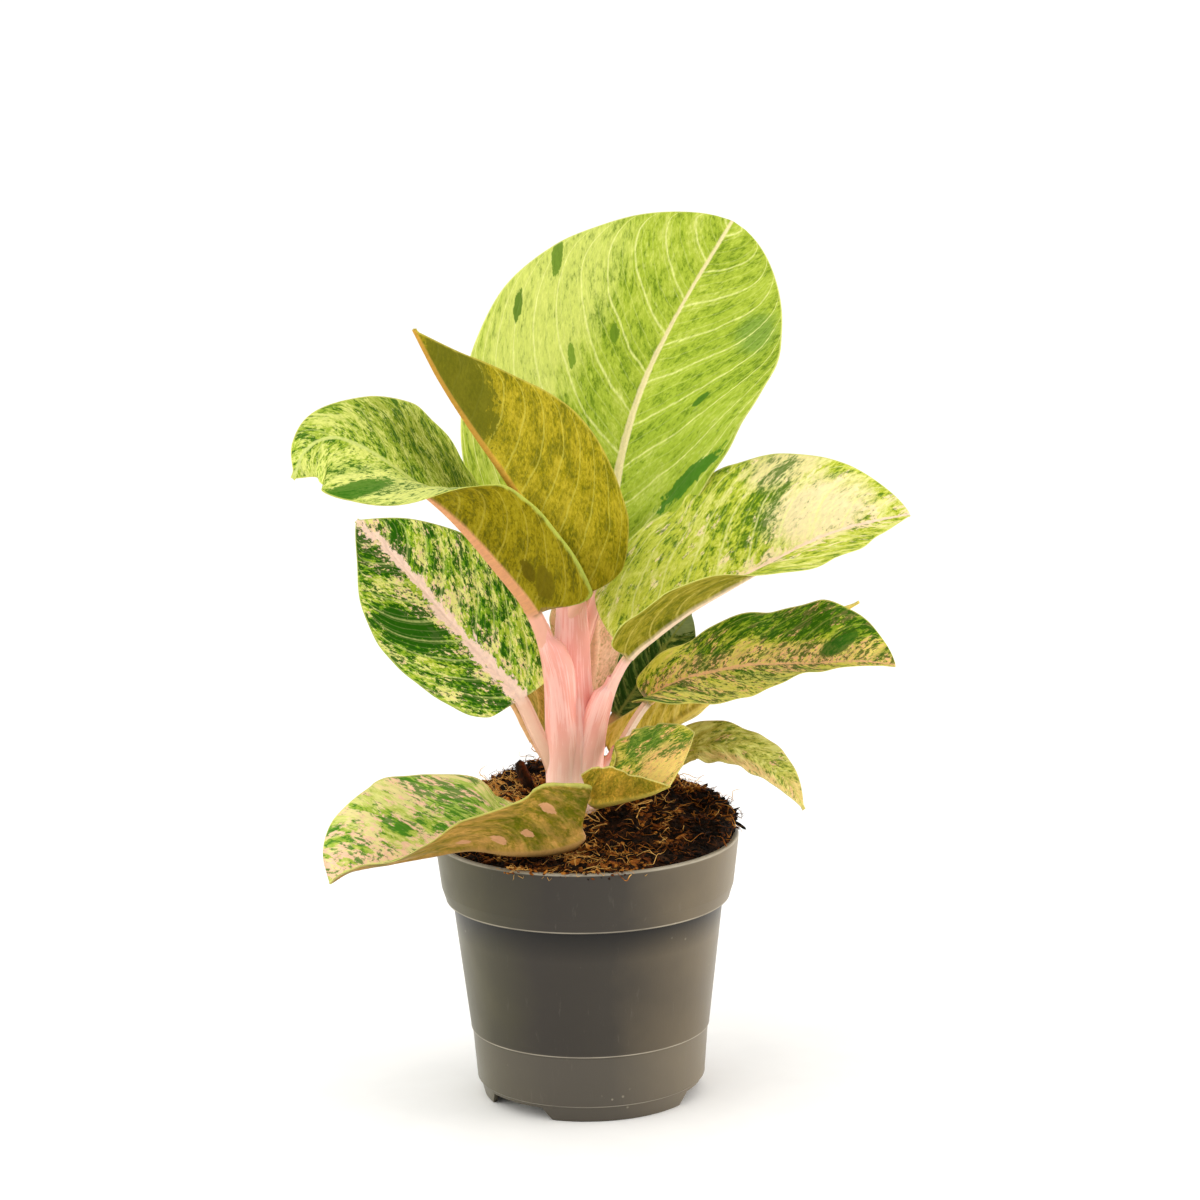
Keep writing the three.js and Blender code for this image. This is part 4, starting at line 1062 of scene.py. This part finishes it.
# The top leaf and the folded one in front of it.
# The broad lime top leaf shows its upper face. The one in front is folded along its midrib and
# shows its golden underside, with a deep green blotch near the tip.
grow("leaf_top", {
    "stalk_path": [(-1, 2, 180), (3, 6, 191)],
    "midrib": [(7, 10, 201), (12, 17, 228), (17, 23, 254), (26, 31, 280), (40, 41, 306),
               (62, 54, 340)],
    "face": [(-0.3, -0.9, 0.3), (-0.3, -0.9, 0.35), (-0.2, -0.9, 0.4)],
    "half": (69, 52), "widest": (0.52, 0.62), "heel": (0.2, 0.15), "taper": (0.6, 0.55),
    "sweep": (20, 5), "stalk": 2.3, "shoulder": (0.6, 0.95),
    "lift": [(20, 18, 12, 8), (8, 14, 16, 12)], "curl": [(10, 0, -10, -15), (0, 0, -5, -10)],
}, {
    "upper": {"pale": "#c1cc58", "mid": "#a9bb3c", "green": "#879f26", "dark": "#527414",
              "light": "#e0e584", "pink": "#f0dfa6", "vein": "#e6ea92"},
    "lower": {"light": "#b9b950", "mid": "#a0a338", "deep": "#7d8426", "vein": "#d2d27a"},
    "rib": "#efe0a8", "rib_half": 2.4, "seed": 1, "vein_gap": 17.0,
    "shares": {"green": 0.55, "dark": 0.27, "light": 0.28, "along": 1.2, "size": 1.15,
               "ragged": 0.1, "contrast": 0.24, "veins": 0.9, "light_share": 0.5,
               "dark_share": 0.75, "banded": 0.22, "soft": 0.22},
    "thick": [(100, 30, 30, 22, 0.06), (104, -22, 16, 16, 0.07), (60, 30, 20, 20, -0.05)],
    "zones": [(70, 28, 60, 24, "#9bb534", 0.4), (95, -48, 48, 22, "#dfe37e", 0.5),
              (119, 36, 10, 8, "#7d9c3c", 0.9)],
    "patches": [(at, off, long, wide, colour, "#4a6a1e") for at, off, long, wide, colour in (
        (48, 32, 5.5, 13, "#357419"), (93, -59, 3.4, 2.6, "#4c7218"),
        (114, -54, 4.4, 4.2, "#5d8020"), (97, -19, 3.2, 2.6, "#5f801c"),
        (84, -31, 2.6, 3, "#6c8c24"), (83, 28, 2.6, 3, "#3f6f18"))],
    "margin": "#dfe384",
})
grow("leaf_folded", {
    "stalk_path": [(-6, -1, 184), (-4.5, -3, 193)],
    "midrib": [(-1, -7, 203), (-8, -20, 221), (-19, -36, 241), (-30, -52, 262), (-40, -66, 280),
               (-50, -78, 299), (-59, -86, 319)],
    "face": [(0.6, 0.8, 0.3), (0.5, 0.8, 0.35), (0.5, 0.7, 0.4)],
    "half": (36.5, 30), "widest": (0.42, 0.42), "heel": (0.2, 0.2), "taper": (1, 1),
    "sweep": (5, 5), "stalk": 2.2,
    "lift": [(50, 50, 50, 60), (78, 78, 75, 70)],
}, {
    "upper": {"pale": "#cdd255", "mid": "#aebb3c", "green": "#7f992a", "dark": "#4c6e1e",
              "light": "#dfe38c", "pink": "#e8dc98", "vein": "#dde28c"},
    "lower": {"light": "#b8a52c", "mid": "#998c12", "deep": "#68660c", "vein": "#c9c052"},
    "rib": "#cdd06c", "rib_below": "#c99540", "rib_half": 1.3, "seed": 2, "vein_gap": 15.0,
    "shares": {"below": 0.5, "along": 1.6, "size": 1.2, "veins": 0.5},
    "patches": [(123, -5, 31, 12, "#4d6d1b", "#5f6010")],
    "margin": "#b7a944", "petiole": "#f0b9a2",
})

# The left leaves.
# One arches over with its blade turned, so that its golden underside shows at the base and its
# green face at the tip. The other lies flat to the viewer, dark green with a pink midrib.
grow("leaf_left_arching", {
    "stalk_path": [(-10.5, -10, 172), (-14, -14, 186)],
    "midrib": [(-19, -20, 200), (-32, -29, 220), (-49, -41, 243), (-66, -51, 259.5),
               (-80, -58, 271), (-92, -63, 276), (-101, -67, 272), (-106, -70, 262)],
    "face": [(0.5, 0.7, 0.5), (0.4, 0.45, 0.8), (0.1, -0.15, 0.95), (-0.1, -0.7, 0.7),
             (0.1, -0.95, 0.3)],
    "half": (30, 35), "widest": (0.68, 0.5), "heel": (0.8, 0.34), "taper": (0.95, 1.22),
    "sweep": (35, 10), "stalk": 3.1, "shoulder": (1.0, 0.9), "fore": (26, 0),
    "lift": [(40, 40, 30, 4, -5), (55, 50, 40, 5, -10)],
    "curl": [(0, 0, 0, 0), (0, 0, -10, -20)],
}, {
    "upper": {"pale": "#cfd76a", "mid": "#9db436", "green": "#6b8f22", "dark": "#3a6814",
              "light": "#e2e680", "pink": "#ece39c", "vein": "#d5dd80"},
    "lower": {"light": "#a4961e", "mid": "#887a08", "deep": "#58560a", "vein": "#b8a940"},
    "rib": "#cfd97c", "rib_below": "#e09f74", "rib_half": 2.0, "seed": 3, "vein_gap": 13.0,
    "rim_below": (1.6, "#b9c75a"),
    "shares": {"green": 0.52, "dark": 0.36, "light": 0.42, "along": 1.1, "ragged": 0.2},
    # The pale zone on the near half is partly the leaf's own pale colour and partly a painted
    # sheen.
    "zones": [(75, -18, 34, 13, "#e2e68c", 0.6), (70, 22, 40, 12, "#8f9c2c", 0.5)],
    "patches": [(104, -24, 6.5, 14, "#39720f", "#3f5f1c"), (17, -8, 5, 3, None, "#5f5408"),
                (9, -10, 6, 5, None, "#6c610c")],
    "margin": "#d4d46c", "petiole": "#f0b49e",
})
grow("leaf_left_flat", {
    "stalk_path": [(-10, -5, 124), (-14, -9, 138), (-19, -9, 149)],
    "midrib": [(-25, -8, 162), (-35, -7, 174), (-46, -5, 186), (-57, -3, 199), (-67, -1, 211),
               (-76, 2, 221), (-87.5, 5, 231.5)],
    "face": [(-0.1, -0.85, 0.45), (-0.1, -0.85, 0.4), (-0.1, -0.85, 0.4)],
    "half": (28, 30), "widest": (0.5, 0.5), "heel": (0.25, 0.3), "taper": (0.85, 0.95),
    "sweep": (5, 10), "stalk": 2.2,
    "lift": [(15, 12, 10, 5), (15, 12, 10, 5)],
}, {
    "upper": {"pale": "#b2c43c", "mid": "#76a020", "green": "#4c8210", "dark": "#245a04",
              "light": "#e6e484", "pink": "#f4ccae", "vein": "#e0e690"},
    "lower": {"light": "#9b9440", "mid": "#7d7f28", "deep": "#5f6a1c", "vein": "#b8b05c"},
    "rib": "#ffddcb", "rib_half": 3.0, "seed": 4, "vein_gap": 10.0,
    "shares": {"green": 0.48, "dark": 0.42, "light": 0.52, "pink": 0.4, "along": 1.3,
               "ragged": 0.9, "size": 1.2, "veins": 0.55, "light_share": 0.92,
               "dark_share": 0.96},
    "thick": [(48, -13, 14, 9, 0.2), (36, 20, 10, 8, 0.04), (84, -4, 12, 20, 0.12),
              (16, -10, 16, 10, 0.06)],
    "margin": "#b9c45e", "petiole": "#f3c8b0",
})

# The right leaves.
# Two broad ones stand out to the right, the upper one washed with cream and pink and the lower
# one dark green streaked with coral. A narrow one droops, and another hides behind them.
grow("leaf_right_broad", {
    "stalk_path": [(7, -7, 158), (11.5, -8.5, 170)],
    "midrib": [(17, -9.5, 179), (28, -13, 189), (41, -17, 199), (56, -20, 208), (75, -20, 218),
               (90, -18, 225), (108, -14, 230), (127, -12, 233)],
    "half": (43, 33), "widest": (0.55, 0.5), "heel": (0.42, 0.25), "taper": (0.65, 0.85),
    "sweep": (0, 0), "stalk": 2.4,
    "lift": [(78, 74, 68, 58, 45), (22, 22, 10, -8, -10)],
    "curl": [(0, -16, -22, -4, 0), (0, 0, 0, 0)], "wave": (1.5, 2.2, 0.1),
}, {
    "upper": {"pale": "#dfe07a", "mid": "#bfc83e", "green": "#8ba324", "dark": "#456e12",
              "light": "#f0eca4", "pink": "#f6dfae", "vein": "#eaea98"},
    "lower": {"light": "#a89c38", "mid": "#868018", "deep": "#606610", "vein": "#c2b45a"},
    "rib": "#f8dcc0", "rib_half": 1.8, "seed": 5, "vein_gap": 14.0,
    "shares": {"green": 0.5, "dark": 0.31, "light": 0.3, "pink": 0.3, "along": 1.3,
               "ragged": 0.4, "size": 1.35, "veins": 0.8, "banded": 0.16, "light_share": 0.5,
               "soft": 0.12},
    "zones": [(94, -11, 20, 13, "#f4dfb4", 0.8), (90, -33, 14, 8, "#ecdaa4", 0.7),
              (25, -20, 24, 30, "#ccd04c", 0.5)],
    "thick": [(76, -20, 9, 15, 0.17), (97, -14, 15, 18, -0.1), (112, -26, 10, 8, 0.16)],
    "margin": "#d8dc78", "petiole": "#f8cabc",
})
grow("leaf_right_waved", {
    "stalk_path": [(5, 0, 122), (10, 1, 134), (17, 2, 147)],
    "midrib": [(25, 3, 158), (36, 4, 165), (50, 6, 168), (64, 8, 170), (78, 9, 170),
               (93, 10, 170), (109, 11, 170), (123, 12, 168)],
    "half": (29, 20), "widest": (0.72, 0.22), "heel": (0.35, 0.7), "taper": (0.65, 1.0),
    "sweep": (10, 30), "stalk": 2.0, "shoulder": (1.1, 0.6),
    "lift": [(40, 34, 36, 46, 40), (30, -10, -30, -22, -6, -6, -5, -5)],
    "wave": (1.5, 2.2, 0.3),
}, {
    "upper": {"pale": "#cfcb48", "mid": "#8fa622", "green": "#5f8816", "dark": "#2c5a06",
              "light": "#ddd45a", "pink": "#efb886", "vein": "#cfd06a"},
    "lower": {"light": "#aa952a", "mid": "#8a7a14", "deep": "#645e10", "vein": "#bda94c"},
    "rib": "#ebb884", "rib_half": 0.9, "seed": 6, "vein_gap": 11.0,
    "shares": {"green": 0.52, "dark": 0.48, "light": 0.52, "pink": 0.46, "along": 0.75,
               "ragged": 0.9, "size": 0.9, "veins": 0.4},
    "thick": [(80, -22, 40, 8, 0.1), (60, 12, 40, 10, 0.02)],
    "patches": [(79, -8, 5.5, 5.5, "#2f6414", "#3c6b1c")],
    "zones": [(80, -22, 45, 9, "#5f8e18", 0.55), (58, -4, 40, 6, "#edb684", 0.6),
              (50, 13, 45, 9, "#dacf74", 0.6)],
    "margin": "#d3cc68", "petiole": "#f8ddc4",
})
grow("leaf_right_drooping", {
    "stalk_path": [(8, -1, 127), (19, 2, 129)],
    "midrib": [(32, 8, 132), (43, 11, 137), (54, 9, 138), (65, 6, 135), (75, 3, 129),
               (82, 1, 121), (86, 0, 113)],
    "face": [(0, -0.2, 1), (0.1, -0.22, 0.97), (0.7, -0.5, 0.5)],
    "half": (13, 15), "widest": (0.45, 0.45), "heel": (0.35, 0.35), "taper": (1, 1),
    "sweep": (10, 10), "stalk": 1.8,
    "lift": [(20, 20, 10, 5), (5, 0, 0, 0)],
    "wave": (1, 1.5, 0),
}, {
    "upper": {"pale": "#d6d57a", "mid": "#b9b854", "green": "#959a38", "dark": "#607826",
              "light": "#d6d282", "pink": "#e0b088", "vein": "#c0c070"},
    "lower": {"light": "#a99a4c", "mid": "#8c8436", "deep": "#6c6c28", "vein": "#b9ac62"},
    "rib": "#b0b050", "rib_half": 0.5, "seed": 7, "vein_gap": 8.0,
    "shares": {"green": 0.5, "dark": 0.26, "light": 0.3, "pink": 0.05, "along": 0.8,
               "size": 0.9, "veins": 0.3},
    "zones": [(45, 10, 30, 5, "#dcb080", 0.7), (63, 0, 10, 6, "#d0a870", 0.6)],
    "margin": "#cdbf78", "petiole": "#dcc48c",
})
grow("leaf_right_back", {
    "stalk_path": [(6, 6, 131), (10, 8, 133)],
    "midrib": [(11, 9, 134), (26, 13.5, 140.5), (42, 20, 149), (60, 28, 160), (79, 37, 170),
               (95, 44, 178), (111, 49, 186)],
    "face": [(-0.2, 1, 0.2), (-0.2, 0.9, 0.4), (0, 0.5, 0.8)],
    "half": (13, 16), "widest": (0.5, 0.5), "heel": (0.35, 0.7), "taper": (1, 1),
    "sweep": (0, 15), "stalk": 1.8,
    "lift": [(50, 45, 30, 20), (0, 5, 10, 10)],
}, {
    "upper": {"pale": "#c6bd5c", "mid": "#9ba03c", "green": "#748528", "dark": "#516a1e",
              "light": "#d6d07c", "pink": "#dcae7c", "vein": "#c9c070"},
    "lower": {"light": "#dcc462", "mid": "#c4ac3a", "deep": "#96861f", "vein": "#e0ce76"},
    "rib": "#d9c05c", "rib_half": 1.2, "seed": 8, "vein_gap": 7.0,
    "shares": {"along": 0.6, "below": 0.4}, "margin": "#cfc06c", "petiole": "#c99f4c",
})

# The low leaves and the ones behind.
# The front left leaf is folded over its midrib above the rim, the small one beside it is cupped,
# and three small leaves stand behind the stem.
grow("leaf_front_cupped", {
    "stalk_path": [(1, -6, 128), (2, -12, 124)],
    "midrib": [(3, -17, 122), (9, -23, 124), (17, -31, 127.5), (25, -38, 131), (32, -45, 135.5)],
    "half": (32, 16), "widest": (0.64, 0.4), "heel": (0.45, 0.6), "taper": (0.35, 0.8),
    "sweep": (-12, 10), "stalk": 1.6, "fore": (24, 0),
    "lift": [(60, 55, 48, 40), (65, 60, 55, 50)], "curl": [(0, 0, 0, 0), (10, 10, 0, 0)],
}, {
    "upper": {"pale": "#d9c85c", "mid": "#a8a838", "green": "#6f9028", "dark": "#436e1c",
              "light": "#e6d470", "pink": "#efb67c", "vein": "#c6c070"},
    "lower": {"light": "#cfa23c", "mid": "#98881a", "deep": "#565e0c", "vein": "#c9b44c"},
    "rib": "#c2b050", "rib_half": 0.6, "seed": 9, "vein_gap": 8.0,
    "shares": {"green": 0.5, "dark": 0.42, "light": 0.4, "pink": 0.4, "along": 1.1, "size": 0.9,
               "below": 0.85, "veins": 0.15},
    "thick": [(21, -24, 8, 8, 0.1), (35, -12, 8, 8, -0.12)],
    "zones": [(21, -24, 10, 9, "#6c8f32", 0.85), (33, -12, 11, 10, "#eab878", 0.8)],
    "margin": "#d9d07a", "petiole": "#d9b684",
})
grow("leaf_front_left", {
    "stalk_path": [(-7, -8, 127), (-7, -21, 120), (-4, -31, 115)],
    "midrib": [(-3, -37, 112.5), (-14, -45, 111), (-29, -51, 112.5), (-44, -55, 115.5),
               (-60, -59, 114), (-75, -62, 112), (-90, -62, 109), (-98, -61, 104)],
    "half": (32, 34), "widest": (0.4, 0.62), "heel": (0.36, 0.42), "taper": (0.8, 0.38),
    "sweep": (44, 34), "stalk": 2.0,
    "lift": [(85, 75, 45, 28, 16, 10), (25, 25, 38, 50, 58, 50)],
}, {
    "upper": {"pale": "#c3c868", "mid": "#9bb240", "green": "#6f9c2e", "dark": "#3f7c1c",
              "light": "#dad888", "pink": "#eec0a6", "vein": "#d2d878"},
    "lower": {"light": "#b98c4a", "mid": "#88741a", "deep": "#545808", "vein": "#b59848"},
    # The keel seen from below is tan, painted darker than its own colour to stand in for the shade
    # it lies in over the soil.
    "rib": "#cfd57c", "rib_below": "#9c7844", "rib_half": 1.3, "seed": 10, "vein_gap": 11.0,
    "rim_below": (1.6, "#b9bc60"),
    "shares": {"green": 0.5, "dark": 0.38, "light": 0.45, "pink": 0.68, "along": 0.9,
               "below": 0.8, "size": 1.5, "ragged": 0.3, "veins": 0.3},
    "zones": [(55, 24, 13, 10, "#a4bd58", 0.6), (30, 20, 26, 12, "#92b44a", 0.5)],
    "thick": [(52, 26, 9, 8, 0.1), (73, 14, 3.5, 4, 0.3), (80, 24, 20, 10, -0.04),
              (8, -16, 12, 12, 0.12), (28, -12, 5, 9, 0.1), (50, -9, 7, 5, -0.1)],
    "patches": [(37, -7, 2.6, 3.4, None, "#c08e66"), (20, -19, 2.8, 3.2, None, "#c08e66"),
                (50, -8, 2.4, 3, None, "#c08e66"), (26, -9, 2.4, 2.6, None, "#c08e66")],
    "margin": "#cfcb74", "petiole": "#cfa070",
})
grow("leaf_back_left", {
    "stalk_path": [(-6, 4, 124), (-14, 10, 132)],
    "midrib": [(-20, 15, 140), (-27, 21, 152), (-36, 29, 164), (-46, 36, 173), (-58, 42, 179)],
    "face": [(0.3, 0.6, 0.6), (0.2, 0.5, 0.8), (-0.1, 0.2, 1)],
    "half": (26, 22), "widest": (0.45, 0.45), "heel": (0.4, 0.35), "taper": (1, 1),
    "sweep": (10, 10), "stalk": 1.8,
    "lift": [(30, 25, 15, 10), (25, 20, 15, 10)],
}, {
    "upper": {"pale": "#cfca6c", "mid": "#8ea03c", "green": "#5c7f28", "dark": "#3c621c",
              "light": "#dad883", "pink": "#e6b78c", "vein": "#cbca78"},
    "lower": {"light": "#cca45a", "mid": "#ab8c3c", "deep": "#7f7428", "vein": "#cfae62"},
    "rib": "#d8a878", "rib_half": 1.0, "seed": 11, "vein_gap": 9.0,
    "shares": {"along": 1.4}, "margin": "#c9bf74", "petiole": "#e0b088",
})
grow("leaf_back_right", {
    "stalk_path": [(2, 8, 134), (8, 14, 141)],
    "midrib": [(13, 19, 148), (20, 25, 157), (27, 31, 166), (35, 37, 175), (43, 43, 184)],
    "face": [(0.3, -0.7, 0.6), (0.3, -0.7, 0.6), (0.3, -0.7, 0.6)],
    "half": (16, 15), "widest": (0.5, 0.5), "heel": (0.35, 0.35), "taper": (0.75, 0.75),
    "sweep": (10, 10), "stalk": 1.8,
    "lift": [(20, 15, 10, 10), (20, 15, 10, 10)],
}, {
    "upper": {"pale": "#8f9f50", "mid": "#587636", "green": "#3c6226", "dark": "#284a16",
              "light": "#b4bc62", "pink": "#d6b070", "vein": "#a6ae66"},
    "lower": {"light": "#8f8c44", "mid": "#747630", "deep": "#585e22", "vein": "#a8a056"},
    "rib": "#8f9a50", "rib_half": 0.6, "seed": 12, "vein_gap": 8.0,
    "shares": {"green": 0.6, "dark": 0.5, "light": 0.35, "along": 0.5},
    # The pale grey-green patch at the tip, on both faces, is a painted reflection of glare.
    "patches": [(54, 0, 14, 18, "#8d9c70", "#90a278")], "margin": "#98a468",
    "petiole": "#c9a070",
})
grow("leaf_back_middle", {
    "stalk_path": [(-1, 8, 140), (1, 13, 151)],
    "midrib": [(2, 15, 160), (4, 18, 172), (5, 22, 185), (5, 26, 198), (4, 30, 212)],
    "face": [(0, 0.9, 0.2), (0, 0.9, 0.2), (0, 0.9, 0.3)],
    "half": (12, 19), "widest": (0.5, 0.5), "heel": (0.35, 0.35), "taper": (0.9, 0.9),
    "sweep": (10, 10), "stalk": 1.8,
    "lift": [(25, 20, 15, 10), (25, 20, 15, 10)],
}, {
    "upper": {"pale": "#e2c690", "mid": "#c0a860", "green": "#8c9040", "dark": "#5c6c28",
              "light": "#ecd8a8", "pink": "#f0bca0", "vein": "#d8c888"},
    "lower": {"light": "#f4cbaa", "mid": "#e9b896", "deep": "#a4924c", "vein": "#eec4a4"},
    "rib": "#eab898", "rib_half": 1.0, "seed": 13, "vein_gap": 8.0,
    "shares": {"below": 0.35, "along": 1.4}, "margin": "#d8c48c", "petiole": "#f4beaa",
})

# Floor and light.
# A wide matt white floor in a white studio tent that is open, so darker, towards the camera. One
# large soft box from above left gives the leaves their shape, and a low one at each side makes
# the sides of the pot and the leaf edges bright.
FLOOR_HALF = 20.0
backdrop, t = new_material("matt white studio floor")
place = add_node(t, "ShaderNodeTexCoord", out=3)
paper = add_node(t, "ShaderNodeTexNoise", {"Vector": place, "Scale": 40.0})
white = add_node(t, "ShaderNodeValToRGB", {0: paper}, stops=[(0.4, "#fcfcfc"), (0.6, "#fefefe")])
skin = add_node(t, "ShaderNodeBsdfPrincipled", {"Base Color": white, "Roughness": 0.9,
                                                "Specular IOR Level": 0.2})
add_node(t, "ShaderNodeOutputMaterial", {"Surface": skin})
corners = [(x * FLOOR_HALF / MM, y * FLOOR_HALF / MM, -0.05)
           for x, y in ((-1, -1), (1, -1), (1, 1), (-1, 1))]
floor = new_piece("studio_floor", corners, [(0, 1, 2, 3)], backdrop)

world = bpy.data.worlds.new("white tent")
world.use_nodes = True
t = world.node_tree
t.nodes.clear()
way = add_node(t, "ShaderNodeTexCoord", out=0)
split = add_node(t, "ShaderNodeSeparateXYZ", {0: way}).node.outputs
to_front = add_node(t, "ShaderNodeMath", {0: split[2], 1: -0.9}, operation="MULTIPLY")
open_side = add_node(t, "ShaderNodeMath", {0: split[1], 1: -1.0, 2: to_front}, **TIMES_PLUS)
shade = add_node(t, "ShaderNodeMapRange", {0: open_side, 1: 0.15, 2: 0.95, 3: 1.08, 4: 0.36})
sideways_by = add_node(t, "ShaderNodeMath", {0: split[0]}, operation="ABSOLUTE")
wall = add_node(t, "ShaderNodeMath", {0: split[2], 1: -0.8, 2: sideways_by}, **TIMES_PLUS)
walls = add_node(t, "ShaderNodeMapRange", {0: wall, 1: 0.55, 2: 0.85, 4: 1.2})
strength = add_node(t, "ShaderNodeMath", {0: shade, 1: walls}, operation="ADD")
tint = add_node(t, "ShaderNodeMapRange", {0: split[0], 1: -0.8, 2: 0.8})
tinted = add_node(t, "ShaderNodeValToRGB", {0: tint}, stops=[
    (0.0, "#fdfdf6"), (0.4, "#ffffff"), (0.6, "#ffffff"), (1.0, "#fffaf4")])
sky = add_node(t, "ShaderNodeBackground", {"Color": tinted, "Strength": strength})
add_node(t, "ShaderNodeOutputWorld", {"Surface": sky})
scene.world = world


def soft_box(name, place, target, wide, tall, power, colour="#ffffff"):
    """A rectangular area light aimed at a point."""
    data = bpy.data.lights.new(name, "AREA")
    data.shape = "RECTANGLE"
    data.size, data.size_y = wide, tall
    data.energy = power
    data.color = hex_colour(colour)[:3]
    lamp = bpy.data.objects.new(name, data)
    scene.collection.objects.link(lamp)
    lamp.location = place
    aim = (Vector(target) - Vector(place)).to_track_quat("-Z", "Y")
    lamp.rotation_euler = aim.to_euler()


soft_box("key", (-0.7, -0.9, 1.7), (0, 0, 0.2), 1.2, 1.2, 6.0, "#fffcf6")
soft_box("left side", (-1.3, -0.25, 0.25), (0, 0, 0.12), 0.8, 0.9, 6.6, "#fffaf0")
soft_box("right side", (1.3, -0.25, 0.25), (0, 0, 0.12), 0.8, 0.9, 10.0, "#fffbf4")
scene.view_settings.view_transform = "Standard"
